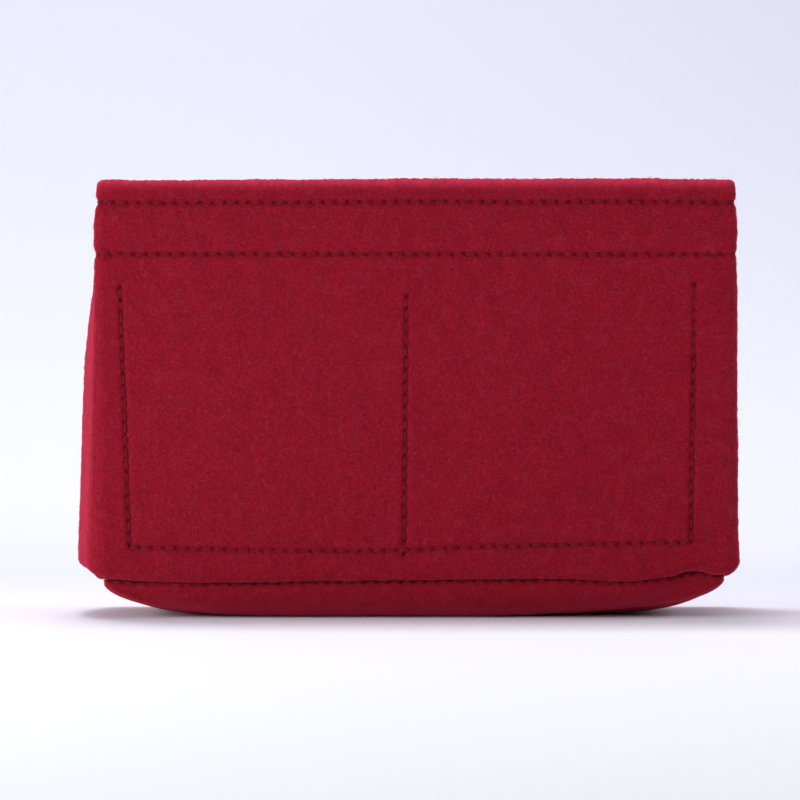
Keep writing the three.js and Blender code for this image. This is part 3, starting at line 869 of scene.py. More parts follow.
def sew_base(scene):
    """The sagging base, pressed by its seam and slightly uneven."""
    bag, foot = scene.bag_sizes, scene.foot_sizes
    wall = walls_of(scene)["front_panel"]
    levels = []
    for scale, reach, rise, inset, lift in base_rows(bag):
        edge_inset = foot.bend + foot.setback
        length = blend(foot.rest_length, bag.foot_half_width - edge_inset, reach) - inset
        depth = blend(foot.rest_depth, bag.foot_half_depth - edge_inset, reach) - inset
        radius = blend(foot.rest_corner, foot.edge_corner, reach) - inset
        ring_spots = rounded_ring(length, depth, radius)
        height = (wall.rim(ring_spots[:, 0], length, radius) - bag.seam_gap / 2) * rise + lift
        spots = blend(ring_spots, stretched(wall, ring_spots, length, depth), reach) * scale
        levels.append(np.column_stack([spots[:, 0] + MIDDLE_X + bag.foot_lean, spots[:, 1], height]))
    grid = np.array(levels)
    across = (grid[..., 0] - MIDDLE_X) / foot.rest_length
    slack = foot.right_lift * smooth(across - RIGHT_LIFT_START_SHARE)
    slack += foot.left_lift * smooth(-across - LEFT_LIFT_START_SHARE)
    off_middle = smooth(LIFT_SLOPE * np.abs(grid[..., 1]) / foot.rest_depth - LIFT_START)
    slack *= blend(MIDDLE_LIFT_SHARE, 1, off_middle)
    grid[..., 2] += slack * (1 - grid[..., 2] / grid[..., 2].max())
    lumps = uneven(grid, *BASE_LUMPS) * (grid[..., 2] > LUMPS_START_HEIGHT)
    grid[..., 2] = np.maximum(grid[..., 2] + lumps, 0)
    normals = grid_normals(grid)
    bent = len(FLAT_SCALES) + BEND_ROWS // 2
    normals *= np.sign((normals[bent] * (grid[bent] - grid[0])).sum())
    grid, matted_and_shaded = pressed(grid, normals, all_seams(scene), ["base_seam"], scene.stitch_sizes)
    faces = tube_faces(len(grid), BASE_POINTS)
    points = grid.reshape(-1, 3)
    piece = new_object("base_panel_felt", points, faces, felt_material(scene), SHARP_ANGLE)
    mark(piece, "matted_and_shaded", matted_and_shaded)
    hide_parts("base_panel")


# The pockets

PATCH_SPACING = 1.0 * MM
PATCH_LUMPS = (0.08 * MM, 8 * MM, 33, 12)

# The mouth's edge wanders up and down, from this share of the pocket's height upwards
MOUTH_DROOP = (0.5 * MM, 40 * MM, 31, 7)
DROOP_START_SHARE, DROOP_FADE_SHARE = 0.8, 0.2


def gape_of(pocket, across, height):
    """How far the patch stands off the wall."""
    side = np.where(across < pocket.shift, side_seam(pocket, -1, height), side_seam(pocket, 1, height))
    between = np.clip((across - pocket.shift) / (side - pocket.shift), 0, 1)
    level = (height - pocket_foot(pocket, across)) / (pocket.centre_top - pocket.seam_foot)
    return pocket.gape * np.sin(math.pi * between) * np.sin(QUARTER * np.clip(level, 0, 1))


def sew_pocket(scene, side, seams):
    """The patch inside one long wall, pressed by the lower threads of its seams."""
    bag, pocket = scene.bag_sizes, scene.pocket_sizes
    wall = walls_of(scene)[side + "_panel"]
    wide, tall = pocket.left_half + pocket.right_half, pocket.mouth - pocket.seam_foot
    across_share = even(0, 1, PATCH_SPACING / wide, COARSE)[None, :]
    rise = even(0, 1, PATCH_SPACING / tall, COARSE)[:, None]
    sides = []
    for depth, coarse in ((0.0, COARSE), (pocket.felt, 1)):
        column, row = across_share[:, ::coarse], rise[::coarse]
        foot_place = blend(-pocket.left_foot, pocket.right_foot, column)
        height = blend(pocket_foot(pocket, foot_place) - pocket.margin, pocket.mouth, row)
        left = side_seam(pocket, -1, height) - pocket.margin
        across = blend(left, side_seam(pocket, 1, height) + pocket.margin, column)
        inset = bag.felt + PATCH_GAP + gape_of(pocket, across, height) + depth
        points = wall.spot(across, inset, height)
        near_mouth = smooth((row - DROOP_START_SHARE) / DROOP_FADE_SHARE)
        points[..., 2] += near_mouth * uneven(points * [1, 0, 0], *MOUTH_DROOP)
        sides.append(points)
    # The fine side faces into the bag, so its columns run the other way
    inside = sides[1][:, ::-1]
    normals = grid_normals(inside)
    inside = inside + normals * uneven(inside, *PATCH_LUMPS)[..., None]
    names = [f"{side}_pocket_outline_under", f"{side}_pocket_centre_under"]
    inside, matted_and_shaded = pressed(inside, normals, seams, names, scene.stitch_sizes)
    outside = sides[0][:, ::-1]
    piece = felt_sheet(f"{side}_pocket_felt", inside, outside, matted_and_shaded, felt_material(scene))
    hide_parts(f"{side}_pocket")


# Loose fibres

FIBRE_SIDES = 3
FIBRE_PLACE_SHARES = (0, 0.25, 0.5, 0.75, 1)

# Spreads of the fibres' lengths, bends, lifts and radii, as shares of the sizes that a user sets
LENGTH_MEAN, LENGTH_SPREAD = -0.1, 0.45
BEND_SPREAD = 0.28
LIFT_SHARES = (0.2, 1.0)
RADIUS_SHARES = (0.7, 1.3)

# Some fibres are coarser by this share. All get thinner towards their ends, which lie lower than
# the middle and run into the felt.
COARSE_FIBRES_SHARE, COARSE_EXTRA_SHARE = 0.15, 1.1
END_THINNING_SHARE = 0.6
END_LIFT_SHARE = 0.35
END_SINK_RADII = 2


def loose_fibres(name, sheet, count, seed, scene):
    """Short bent hairs that stand a little off a grid of felt points, each a thin closed tube."""
    fuzz = scene.fuzz_sizes
    random = np.random.default_rng(seed)
    rows, columns = sheet.shape[:2]
    normals = grid_normals(sheet)
    row = random.integers(1, rows - 1, count)
    column = random.integers(1, columns - 1, count)
    root, out = sheet[row, column], normals[row, column]
    drift = random.normal(size=(count, 3))
    run = np.cross(out, drift)
    run /= np.linalg.norm(run, axis=1, keepdims=True)
    side = np.cross(out, run)
    length = fuzz.length * np.exp(random.normal(LENGTH_MEAN, LENGTH_SPREAD, count))[:, None]
    bend = length * random.normal(0, BEND_SPREAD, count)[:, None]
    lift = fuzz.lift * random.uniform(*LIFT_SHARES, count)[:, None] ** 2
    coarse = random.uniform(0, 1, count) < COARSE_FIBRES_SHARE
    thickness = random.uniform(*RADIUS_SHARES, count) + COARSE_EXTRA_SHARE * coarse
    radius = fuzz.radius * thickness[:, None]
    points = []
    for place in FIBRE_PLACE_SHARES:
        arch = math.sin(math.pi * place)
        rise = lift * blend(END_LIFT_SHARE, 1, arch)
        if place in (0, 1):
            rise = rise - END_SINK_RADII * fuzz.radius
        centre = root + run * length * (place - 0.5) + side * bend * arch + out * rise
        thin = radius * (1 - END_THINNING_SHARE * abs(2 * place - 1))
        for k in range(FIBRE_SIDES):
            angle = 2 * math.pi * k / FIBRE_SIDES
            points.append(centre + thin * (math.cos(angle) * out + math.sin(angle) * side))
    points = np.stack(points, axis=1)
    *sides, first_end, last_end = tube_faces(len(FIBRE_PLACE_SHARES), FIBRE_SIDES)
    offsets = (np.arange(count) * points.shape[1])[:, None, None]
    faces = (np.array(sides) + offsets).reshape(-1, 4).tolist()
    faces += (np.array([first_end, last_end]) + offsets).reshape(-1, 3).tolist()
    piece = new_object(name, points.reshape(-1, 3), faces, fibre_material(scene))


# Stitches

# Height of a stitch over the felt at places along it, as shares of the thread's radius
STITCH_PLACE_SHARES = np.array([0.0, 0.05, 0.12, 0.22, 0.36, 0.5, 0.64, 0.78, 0.88, 0.95, 1.0])
STITCH_RISE_SHARES = np.array([-2.6, -1.5, -0.4, 0.4, 0.75, 0.85, 0.75, 0.4, -0.4, -1.5, -2.6])
THREAD_SIDES = 8

# A stitch sinks in by a share of the groove's depth, and starts a little way from its hole
SINK_SHARE = 1.1
STITCH_START_SHARE, STITCH_RUN_SHARE = 0.07, 0.86

# The two plies of the thread: how far they twist along a stitch, and how much they stand out
TWIST_ANGLE = 7.0
PLY_SHARE = 0.17

# How far a stitch usually strays to its side, as a share of the thread's radius
WOBBLE_SHARE = 0.35


def stitch_rings(start, end, out_start, out_end, stitch, wobble):
    """Rings of points of one stitch, which dips into the felt at both ends."""
    place = STITCH_PLACE_SHARES[:, None]
    facing = blend(out_start, out_end, place)
    facing /= np.linalg.norm(facing, axis=1, keepdims=True)
    run = (end - start) / np.linalg.norm(end - start)
    side = np.cross(run, facing)
    side /= np.linalg.norm(side, axis=1, keepdims=True)
    rise = stitch.thread * STITCH_RISE_SHARES[:, None] - stitch.groove * SINK_SHARE
    centre = blend(start, end, STITCH_START_SHARE + STITCH_RUN_SHARE * place) + facing * rise
    centre = centre + side * stitch.thread * wobble * np.sin(math.pi * place)
    centre = centre + side * stitch.slant * (1 - 2 * place)
    angle = np.linspace(0, 2 * math.pi, THREAD_SIDES, endpoint=False)
    twist = TWIST_ANGLE * place + wobble
    radius = stitch.thread * (1 + PLY_SHARE * np.cos(2 * (angle[None, :] - twist)))
    return centre[:, None] + radius[..., None] * (
        np.cos(angle)[None, :, None] * side[:, None] + np.sin(angle)[None, :, None] * facing[:, None]
    )


def sew_row(scene, name, seams, node):
    """All the stitches of one row."""
    stitch = scene.stitch_sizes
    holes, facing = seams[name][:2]
    random = np.random.default_rng(len(name) * 7 + len(holes))
    points, faces = [], []
    for index in range(len(holes) - 1):
        start, end = holes[index:index + 2]
        out_start, out_end = facing[index:index + 2]
        wobble = random.normal() * WOBBLE_SHARE
        rings = stitch_rings(start, end, out_start, out_end, stitch, wobble)
        faces += tube_faces(len(rings), THREAD_SIDES, index * len(rings) * THREAD_SIDES)
        points.append(rings.reshape(-1, 3))
    piece = new_object(name + "_stitches", np.concatenate(points), faces, thread_material(scene))
    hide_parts(node)


# Materials

# The noises of the felt, in cells to the metre: its fibres, its tufts, larger clouds of light and
# dark, the bends of its hairs, and the patches where hairs lie
FIBRES_SCALE, TUFTS_SCALE, CLOUDS_SCALE, BENDS_SCALE, PATCHES_SCALE = 1900, 620, 150, 320, 260

# Two layers of hairs: the scale of their cells and how far the layer is turned. Then how far the
# hairs bend, and how wide they are as a share of a cell.
HAIR_LAYERS = ((480, 0.0), (700, 0.7))
HAIR_BEND = 0.005
HAIR_WIDTH = 0.08

# Parts of a noise's range in which a mask goes from none to full
HAIR_PATCH_NOISE = (0.48, 0.64)
GAP_NOISE = (0.28, 0.54)
LIGHT_NOISE = (0.54, 0.74)
SHADE_NOISE = (0.3, 0.7)

# What the noises give: how bright the felt is, and how rough
CLOUD_SHADES, TUFT_SHADES = (0.95, 1.05), (-0.09, 0.09)
FELT_ROUGHNESS = (0.98, 0.84)

# How strongly each thing tints the felt. The fold's tint is a painted highlight, and the pressed tint
# along the stitches is partly matting and partly painted shade.
GAP_STRENGTH, LIGHT_STRENGTH, FOLD_HIGHLIGHT_STRENGTH, HAIR_STRENGTH = 0.58, 0.5, 0.78, 0.2
PRESSED_SHADE_STRENGTH = 0.4
PRESSED_SHADE_TINT = (0.42, 0.2, 0.25, 1)

# Heights of the tufts and the hairs in the relief, where that of the fibres is 1
TUFT_RELIEF, HAIR_RELIEF = 1.2, 0.5

# The nap's painted edge sheen: how strong it is on felt, and how far from straight on the felt is seen
# where it starts
FELT_EDGE_SHEEN = 0.35
EDGE_SHEEN_START = 0.25

# How far the loose fibres go from the felt's main colour towards its light one
FIBRE_LIGHT_SHARE = 0.55

# The thread's darkest and lightest colour, from its own: a share, and then what is added
THREAD_DEEP_SHARE, THREAD_LIGHT_SHARE, THREAD_LIGHT_ADDED = 0.55, 1.9, 0.02

FIBRE_SHEEN = 0.15
FELT_SHEEN_TINT = (1.0, 0.08, 0.19)
FIBRE_SHEEN_TINT = (1.0, 0.14, 0.26)
THREAD_SHEEN_TINT = (1.0, 0.5, 0.55)


def node(tree, kind, inputs=None, **settings):
    """A shader node with its settings and unlinked values."""
    made = tree.nodes.new(kind)
    for key, value in settings.items():
        setattr(made, key, value)
    for key, value in (inputs or {}).items():
        if isinstance(value, bpy.types.NodeSocket):
            tree.links.new(value, made.inputs[key])
        else:
            made.inputs[key].default_value = value
    return made


def maths(tree, operation, *values):
    """The result of a sum with numbers."""
    return node(tree, "ShaderNodeMath", dict(enumerate(values)), operation=operation).outputs[0]


def vector_maths(tree, operation, inputs):
    """The result of a sum with places."""
    return node(tree, "ShaderNodeVectorMath", inputs, operation=operation).outputs[0]


def mix_colour(tree, factor, first, second, blend_type="MIX"):
    """A colour between two colours, or their product."""
    inputs = {0: factor, 6: first, 7: second}
    return node(tree, "ShaderNodeMix", inputs, data_type="RGBA", blend_type=blend_type).outputs[2]


def spread(tree, value, low, high, out_low=0.0, out_high=1.0):
    """A value stretched from one range to another, and held there."""
    inputs = {0: value, 1: low, 2: high, 3: out_low, 4: out_high}
    return node(tree, "ShaderNodeMapRange", inputs, interpolation_type="SMOOTHSTEP").outputs[0]


def fibre_group():
    """Needled felt: a mat of fibres, the gaps between them and loose light hairs, with a highlight
    painted where a piece is marked fold_highlight, and darkened where it is marked matted_and_shaded,
    partly for its matting and partly as painted shade."""
    found = bpy.data.node_groups.get("needled_fibres")
    if found:
        return found
    group = bpy.data.node_groups.new("needled_fibres", "ShaderNodeTree")
    new_socket = group.interface.new_socket
    scale_socket = new_socket(name="Fibre Scale", in_out="INPUT", socket_type="NodeSocketFloat")
    scale_socket.default_value = 1.0
    for name in ("Main", "Deep", "Light", "Painted Highlight"):
        new_socket(name=name, in_out="INPUT", socket_type="NodeSocketColor")
    new_socket(name="Colour", in_out="OUTPUT", socket_type="NodeSocketColor")
    for name in ("Height", "Roughness"):
        new_socket(name=name, in_out="OUTPUT", socket_type="NodeSocketFloat")
    given = group.nodes.new("NodeGroupInput").outputs
    result = group.nodes.new("NodeGroupOutput").inputs
    place = node(group, "ShaderNodeTexCoord").outputs["Object"]
    spot = vector_maths(group, "SCALE", {0: place, "Scale": given["Fibre Scale"]})

    def noise(scale, detail=3, roughness=0.6, distortion=0.0):
        inputs = {"Vector": spot, "Scale": scale, "Detail": detail}
        inputs.update({"Roughness": roughness, "Distortion": distortion})
        return node(group, "ShaderNodeTexNoise", inputs).outputs["Fac"]

    def marked(name):
        return node(group, "ShaderNodeAttribute", attribute_name=name).outputs["Fac"]

    fibres = noise(FIBRES_SCALE, roughness=0.7, distortion=1.2)
    tufts = noise(TUFTS_SCALE, roughness=0.65, distortion=1.0)
    clouds = noise(CLOUDS_SCALE, distortion=0.6)
    bends = node(group, "ShaderNodeTexNoise", {"Vector": spot, "Scale": BENDS_SCALE, "Detail": 3})
    pull = vector_maths(group, "ADD", {0: bends.outputs["Color"], 1: (-0.5, -0.5, -0.5)})
    pull = vector_maths(group, "SCALE", {0: pull, "Scale": HAIR_BEND})
    bent = vector_maths(group, "ADD", {0: spot, 1: pull})
    strands = []
    for scale, turn in HAIR_LAYERS:
        turned = node(group, "ShaderNodeMapping", {"Vector": bent, "Rotation": (turn, 1.3 * turn, turn)})
        inputs = {"Vector": turned.outputs[0], "Scale": scale}
        cells = node(group, "ShaderNodeTexVoronoi", inputs, feature="DISTANCE_TO_EDGE")
        strands.append(spread(group, cells.outputs["Distance"], 0.0, HAIR_WIDTH, 1.0, 0.0))
    patches = spread(group, noise(PATCHES_SCALE, detail=2), *HAIR_PATCH_NOISE)
    hairs = maths(group, "MULTIPLY", maths(group, "MAXIMUM", *strands), patches)
    gaps = spread(group, fibres, *GAP_NOISE, 1.0, 0.0)
    lights = spread(group, fibres, *LIGHT_NOISE)
    colour = given["Main"]
    # Tints of the felt; the one from the fold_highlight mark is a painted highlight
    for mask, strength, name in (
        (gaps, GAP_STRENGTH, "Deep"),
        (lights, LIGHT_STRENGTH, "Light"),
        (marked("fold_highlight"), FOLD_HIGHLIGHT_STRENGTH, "Painted Highlight"),
        (hairs, HAIR_STRENGTH, "Light"),
    ):
        colour = mix_colour(group, maths(group, "MULTIPLY", mask, strength), colour, given[name])
    cloudy = spread(group, clouds, *SHADE_NOISE, *CLOUD_SHADES)
    tufted = spread(group, tufts, *SHADE_NOISE, *TUFT_SHADES)
    shade = maths(group, "ADD", cloudy, tufted)
    grey = node(group, "ShaderNodeCombineColor", {0: shade, 1: shade, 2: shade}).outputs[0]
    colour = mix_colour(group, 1.0, colour, grey, "MULTIPLY")
    # Along the stitches the felt is darkened, partly for its matting and partly as painted shade in the
    # grooves and needle holes
    dark = mix_colour(group, 1.0, given["Deep"], PRESSED_SHADE_TINT, "MULTIPLY")
    pressed_shade = maths(group, "MULTIPLY", marked("matted_and_shaded"), PRESSED_SHADE_STRENGTH)
    height = maths(group, "MULTIPLY_ADD", tufts, TUFT_RELIEF, fibres)
    height = maths(group, "ADD", height, maths(group, "MULTIPLY", hairs, HAIR_RELIEF))
    group.links.new(mix_colour(group, pressed_shade, colour, dark), result["Colour"])
    group.links.new(height, result["Height"])
    rough = spread(group, fibres, *SHADE_NOISE, *FELT_ROUGHNESS)
    group.links.new(rough, result["Roughness"])
    return group


def fibrous(name, inputs, bump, distance, sheen, sheen_tint, nap=0.0):
    """A material of needled fibres, made once. Its nap is a painted sheen, which turns it paler where it
    is seen edge on.
    """
    found = bpy.data.materials.get(name)
    if found:
        return found
    material = bpy.data.materials.new(name)
    material.use_nodes = True
    tree = material.node_tree
    shader = tree.nodes["Principled BSDF"]
    look = tree.nodes.new("ShaderNodeGroup")
    look.node_tree = fibre_group()
    for key, value in inputs.items():
        look.inputs[key].default_value = value
    colour = look.outputs["Colour"]
    if nap:
        # Painted sheen: where the felt is seen edge on, its colour turns towards the painted highlight
        # colour
        facing = node(tree, "ShaderNodeLayerWeight", {"Blend": 0.5}).outputs["Facing"]
        edge_sheen = spread(tree, facing, EDGE_SHEEN_START, 1.0, 0.0, nap)
        colour = mix_colour(tree, edge_sheen, colour, inputs["Painted Highlight"])
    tree.links.new(colour, shader.inputs["Base Color"])
    tree.links.new(look.outputs["Roughness"], shader.inputs["Roughness"])
    relief_inputs = {"Strength": bump, "Distance": distance, "Height": look.outputs["Height"]}
    relief = node(tree, "ShaderNodeBump", relief_inputs)
    tree.links.new(relief.outputs[0], shader.inputs["Normal"])
    shader.inputs["Specular IOR Level"].default_value = 0.05
    shader.inputs["Sheen Weight"].default_value = sheen
    shader.inputs["Sheen Roughness"].default_value = 0.45
    shader.inputs["Sheen Tint"].default_value = (*sheen_tint, 1)
    return material


def felt_material(scene):
    """Felt of the walls, the base and the pockets."""
    colours = scene.felt_colours
    inputs = {
        "Main": (*colours.felt, 1),
        "Deep": (*colours.deep, 1),
        "Light": (*colours.light, 1),
        "Painted Highlight": (*colours.painted_highlight, 1),
    }
    return fibrous(
        "crimson_felt", inputs, bump=0.75, distance=0.35 * MM, sheen=colours.sheen,
        sheen_tint=FELT_SHEEN_TINT, nap=FELT_EDGE_SHEEN,
    )


def fibre_material(scene):
    """The loose fibres, a little lighter than the felt."""
    light, main = scene.felt_colours.light, scene.felt_colours.felt
    inputs = {
        "Main": (*[blend(a, b, FIBRE_LIGHT_SHARE) for a, b in zip(main, light)], 1),
        "Deep": (*main, 1),
        "Light": (*light, 1),
    }
    return fibrous(
        "crimson_fibre", inputs, bump=0.2, distance=0.05 * MM, sheen=FIBRE_SHEEN,
        sheen_tint=FIBRE_SHEEN_TINT,
    )


def thread_material(scene):
    """The sewing thread, whose fibres are finer than the felt's."""
    colour = scene.felt_colours.thread
    inputs = {
        "Fibre Scale": 2.2,
        "Main": (*colour, 1),
        "Deep": (*[c * THREAD_DEEP_SHARE for c in colour], 1),
        "Light": (*[min(1, c * THREAD_LIGHT_SHARE + THREAD_LIGHT_ADDED) for c in colour], 1),
    }
    return fibrous(
        "crimson_thread", inputs, bump=0.4, distance=0.1 * MM, sheen=FIBRE_SHEEN,
        sheen_tint=THREAD_SHEEN_TINT,
    )


# The studio

# The paper sweep: how far behind the bag it ends, how high and how wide to each side it is, and
# the radius and the steps of its bend
SWEEP_DEPTH, SWEEP_HEIGHT, SWEEP_HALF_WIDTH = 2.2, 3.0, 3.0
SWEEP_BEND, SWEEP_STEPS = 1.4, 24

# Where along the paper it has each of its colours, the last of them at the high share. These colours
# paint light and shade on the paper: darker behind the bag and at the top, and tinted lavender under the
# bag like its shadow.
PAPER_STOP_SHARES = (0, 0.15, 0.3, 0.62)
PAPER_HIGH_SHARE = 0.84

PAPER_GRAIN_SCALE = 900
PAPER_ROUGHNESS = (0.88, 0.94)

# Far to the sides and far in front of the bag the paper fades into the air's colour
SIDE_FADE, NEAR_FADE = (0.6, 1.2), (0.65, 1.0)

# How strongly the air lights the bag
AIR_LIGHT = 0.445

# Each lamp that shines on the bag: its place, its width and its power in watts
BAG_LAMPS = {
    "left_softbox": ((-1.5, -0.2, 0.5), 0.7, 4.6),
    "right_softbox": ((1.45, 0.1, 0.65), 0.7, 6.5),
    "top_softbox": ((-0.15, 0.4, 1.45), 0.6, 11.4),
    "near_softbox": ((-0.82, -0.7, 0.27), 0.5, 6.3),
}

# The lamp that shines on the upright paper
PAPER_LAMP = {
    "place": (-0.7, 0.9, 1.9), "width": 1.0, "power": 18,
    "target": (0, 2.4, 0.7), "colour": (0.76, 0.8, 1.0),
}


class StudioSizes(bpy.types.PropertyGroup):
    """Camera and lamps"""

    distance: size("Camera distance", 1.3, "Distance from the camera to the front wall")
    height: size("Camera height", 0.0732, "Height of the camera")
    aim: size("Camera aim", -0.0026, "Place across that the camera looks at")
    frame_width: size("Frame width", 0.2673, "Width that the picture takes in at the front wall")
    # The paper's colours as the camera sees them paint light and shade: a lavender shadow tint under the
    # bag, and darker paper behind the bag and at the top
    near_floor: tint("Near floor", (0.85, 0.85, 0.86), "Colour of the floor at the camera's side")
    floor: tint("Floor", (0.85, 0.835, 0.9), "Colour of the floor under the bag")
    far_floor_shade: tint("Far floor", (0.69, 0.69, 0.72), "Colour of the floor behind the bag")
    backdrop: tint("Backdrop", (0.80, 0.80, 0.81), "Colour of the backdrop")
    high_backdrop_shade: tint("High backdrop", (0.75, 0.745, 0.78), "Colour of the paper at the top")
    air: tint("Air", (0.87, 0.89, 1.0), "Colour of the light from all round and of the far paper")
    air_seen: share("Air seen", 0.92, "How bright the air and the far paper look")
    bounce: tint("Bounce", (0.96, 0.94, 0.99), "Colour that the paper gives back to the bag")
    paper_start: size("Paper start", -0.5, "Where the paper has the near floor's colour")
    paper_end: size("Paper end", SWEEP_DEPTH, "Where the paper stands upright behind the bag")


def make_camera(scene):
    """A level camera straight in front of the bag."""
    studio = scene.studio_sizes
    data = bpy.data.cameras.new("front_view")
    camera = bpy.data.objects.new("front_view", data)
    scene.collection.objects.link(camera)
    front = -scene.bag_sizes.foot_half_depth
    camera.location = (studio.aim, front - studio.distance, studio.height)
    camera.rotation_euler = (QUARTER, 0, 0)
    data.sensor_width = 36
    data.lens = data.sensor_width * studio.distance / studio.frame_width
    data.clip_start, data.clip_end = 0.01, 20
    scene.camera = camera


def paper_material(studio):
    """Pale paper whose colour goes softly from the floor's to the backdrop's, with painted shade behind
    the bag and at the top, and a painted lavender shadow tint under the bag.
    """
    material = bpy.data.materials.new("pale_paper")
    material.use_nodes = True
    tree = material.node_tree
    shader = tree.nodes["Principled BSDF"]
    spot = node(tree, "ShaderNodeTexCoord").outputs["Object"]
    place = node(tree, "ShaderNodeSeparateXYZ", {0: spot}).outputs
    back_inputs = {0: place["Y"], 1: studio.paper_start, 2: studio.paper_end}
    share_back = node(tree, "ShaderNodeMapRange", back_inputs).outputs[0]
    painted = node(tree, "ShaderNodeValToRGB", {0: share_back})
    ramp = painted.color_ramp
    ramp.interpolation = "EASE"
    ramp.elements[1].position = PAPER_HIGH_SHARE
    # These colours, seen only by the camera, are painted light and shade on the paper
    stops = zip(PAPER_STOP_SHARES, (studio.near_floor, studio.floor, studio.far_floor_shade, studio.backdrop))
    for index, (stop, colour) in enumerate(stops):
        element = ramp.elements[0] if index == 0 else ramp.elements.new(stop)
        element.color = (*colour, 1)
    ramp.elements[-1].color = (*studio.high_backdrop_shade, 1)
    grain = node(tree, "ShaderNodeTexNoise", {"Scale": PAPER_GRAIN_SCALE, "Detail": 2}).outputs["Fac"]
    seen = node(tree, "ShaderNodeLightPath").outputs["Is Camera Ray"]
    colour = mix_colour(tree, seen, (*studio.bounce, 1), painted.outputs[0])
    tree.links.new(colour, shader.inputs["Base Color"])
    rough = spread(tree, grain, *SHADE_NOISE, *PAPER_ROUGHNESS)
    tree.links.new(rough, shader.inputs["Roughness"])
    shader.inputs["Specular IOR Level"].default_value = 0.1
    aside = spread(tree, maths(tree, "ABSOLUTE", place["X"]), *SIDE_FADE)
    near = spread(tree, maths(tree, "MULTIPLY", place["Y"], -1), *NEAR_FADE)
    faded = maths(tree, "MULTIPLY", maths(tree, "MAXIMUM", aside, near), seen)
    air = node(tree, "ShaderNodeEmission", {"Color": (*studio.air, 1), "Strength": studio.air_seen})
    both = node(tree, "ShaderNodeMixShader", {0: faded, 1: shader.outputs[0], 2: air.outputs[0]})
    tree.links.new(both.outputs[0], tree.nodes["Material Output"].inputs["Surface"])
    return material


def make_stage(scene):
    """A sheet of paper that lies under the bag and bends up behind it."""
    flat_end = SWEEP_DEPTH - SWEEP_BEND
    profile = [(-SWEEP_HALF_WIDTH, 0.0), (flat_end, 0.0)]
    for angle in np.linspace(0, QUARTER, SWEEP_STEPS)[1:]:
        rise = SWEEP_BEND - SWEEP_BEND * math.cos(angle)
        profile.append((flat_end + SWEEP_BEND * math.sin(angle), rise))
    profile.append((SWEEP_DEPTH, SWEEP_HEIGHT))
    points = [(x, y, z) for y, z in profile for x in (-SWEEP_HALF_WIDTH, SWEEP_HALF_WIDTH)]
    faces = [(2 * k, 2 * k + 1, 2 * k + 3, 2 * k + 2) for k in range(len(profile) - 1)]
    mesh = bpy.data.meshes.new("paper_sweep")
    mesh.from_pydata(points, [], faces)
    mesh.materials.append(paper_material(scene.studio_sizes))
    mesh.shade_smooth()
    sweep = bpy.data.objects.new("paper_sweep", mesh)
    scene.collection.objects.link(sweep)


def lamp(scene, name, place, width, power, target, colour=(1, 1, 1)):
    """A round lamp that shines on a target."""
    data = bpy.data.lights.new(name, "AREA")
    data.shape = "DISK"
    data.size = width
    data.energy = power
    data.color = colour
    made = bpy.data.objects.new(name, data)
    made.location = place
    made.rotation_euler = (Vector(target) - Vector(place)).to_track_quat("-Z", "Y").to_euler()
    scene.collection.objects.link(made)


def make_lamps(scene):
    """Four lamps round the bag and one on the paper behind it."""
    middle = (0, 0, scene.bag_sizes.top / 2)
    for name, (place, width, power) in BAG_LAMPS.items():
        lamp(scene, name, place, width, power, middle)
    lamp(scene, "backdrop_softbox", **PAPER_LAMP)


def make_air(scene):
    """Even light from all round, which looks brighter to the camera than it shines on the bag."""
    studio = scene.studio_sizes
    world = bpy.data.worlds.new("studio_air")
    world.use_nodes = True
    tree = world.node_tree
    seen = node(tree, "ShaderNodeLightPath").outputs["Is Camera Ray"]
    air = tree.nodes["Background"]
    air.inputs["Color"].default_value = (*studio.air, 1)
    strength = spread(tree, seen, 0, 1, AIR_LIGHT, studio.air_seen)
    tree.links.new(strength, air.inputs["Strength"])
    scene.world = world


# Operators

class BuildStep(bpy.types.Operator):
    """One step of making the organiser"""

    bl_options = {"REGISTER", "UNDO"}


class ORGANISER_OT_walls(BuildStep):
    """Sew the two panels and the two gussets, with their folded hem"""

    bl_idname = "organiser.walls"
    bl_label = "Walls"

    def execute(self, context):
        seams = all_seams(context.scene)
        for name, wall in walls_of(context.scene).items():
            sew_wall(context.scene, name, wall, seams)
        return {"FINISHED"}


class ORGANISER_OT_base(BuildStep):
    """Sew the sagging base"""

    bl_idname = "organiser.base"
    bl_label = "Base"

    def execute(self, context):
        sew_base(context.scene)
        return {"FINISHED"}


class ORGANISER_OT_pockets(BuildStep):
    """Sew the pocket patches inside the long walls"""

    bl_idname = "organiser.pockets"
    bl_label = "Pockets"

    def execute(self, context):
        seams = all_seams(context.scene)
        for side in ("front", "back"):
            sew_pocket(context.scene, side, seams)
        return {"FINISHED"}


class ORGANISER_OT_stitches(BuildStep):
    """Sew every row of stitches"""

    bl_idname = "organiser.stitches"
    bl_label = "Stitches"

    def execute(self, context):
        seams = all_seams(context.scene)
        for name in seams:
            sew_row(context.scene, name, seams, name + "_thread")
        return {"FINISHED"}


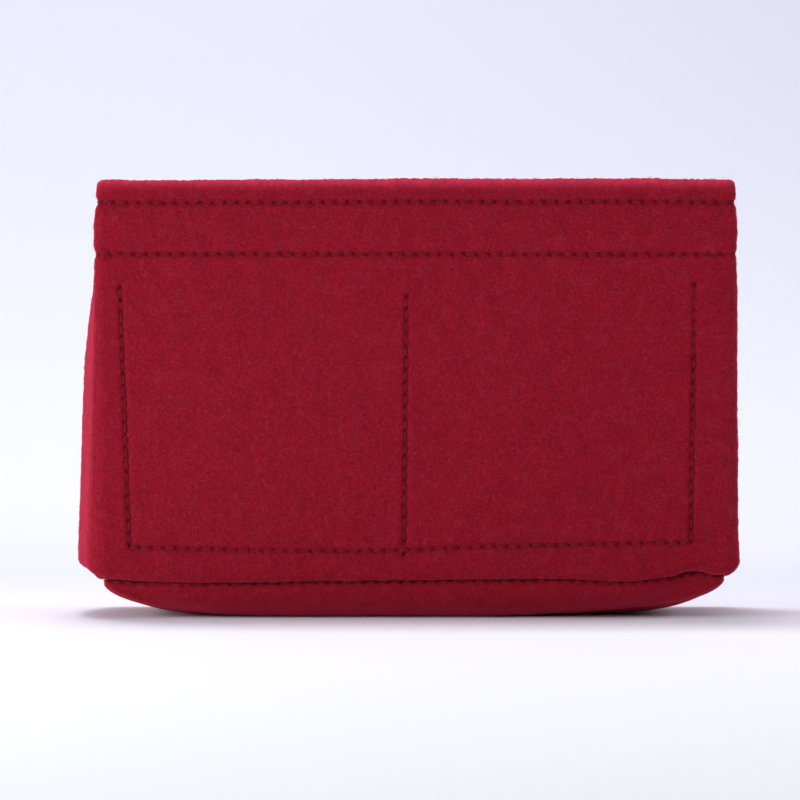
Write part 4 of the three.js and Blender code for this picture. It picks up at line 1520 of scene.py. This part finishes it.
class ORGANISER_OT_studio(BuildStep):
    """Set up the camera, the paper sweep and the lamps"""

    bl_idname = "organiser.studio"
    bl_label = "Studio"

    def execute(self, context):
        scene = context.scene
        scene.view_settings.view_transform = "Standard"
        make_camera(scene)
        make_stage(scene)
        make_lamps(scene)
        make_air(scene)
        return {"FINISHED"}


class ORGANISER_PT_panel(bpy.types.Panel):
    """Buttons and sizes of the organiser"""

    bl_label = "Felt bag organiser"
    bl_idname = "ORGANISER_PT_panel"
    bl_space_type = "VIEW_3D"
    bl_region_type = "UI"
    bl_category = "Organiser"

    def draw(self, context):
        for operator in OPERATORS:
            self.layout.operator(operator.bl_idname)
        for name, group in GROUPS.items():
            box = self.layout.box()
            box.label(text=group.__doc__)
            for key in group.__annotations__:
                box.prop(getattr(context.scene, name), key)


OPERATORS = (
    ORGANISER_OT_studio,
    ORGANISER_OT_walls,
    ORGANISER_OT_base,
    ORGANISER_OT_pockets,
    ORGANISER_OT_stitches,
)
GROUPS = {
    "bag_sizes": BagSizes,
    "foot_sizes": FootSizes,
    "hem_sizes": HemSizes,
    "pocket_sizes": PocketSizes,
    "stitch_sizes": StitchSizes,
    "fuzz_sizes": FuzzSizes,
    "felt_colours": FeltColours,
    "studio_sizes": StudioSizes,
}


def register():
    for name, group in GROUPS.items():
        bpy.utils.register_class(group)
        setattr(bpy.types.Scene, name, bpy.props.PointerProperty(type=group))
    for operator in OPERATORS:
        bpy.utils.register_class(operator)
    bpy.utils.register_class(ORGANISER_PT_panel)


def unregister():
    bpy.utils.unregister_class(ORGANISER_PT_panel)
    for operator in reversed(OPERATORS):
        bpy.utils.unregister_class(operator)
    for name, group in reversed(GROUPS.items()):
        delattr(bpy.types.Scene, name)
        bpy.utils.unregister_class(group)


def main():
    register()
    bpy.ops.organiser.studio()
    bpy.ops.organiser.walls()
    bpy.ops.organiser.base()
    bpy.ops.organiser.pockets()
    bpy.ops.organiser.stitches()
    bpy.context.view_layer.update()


if __name__ == "__main__":
    main()
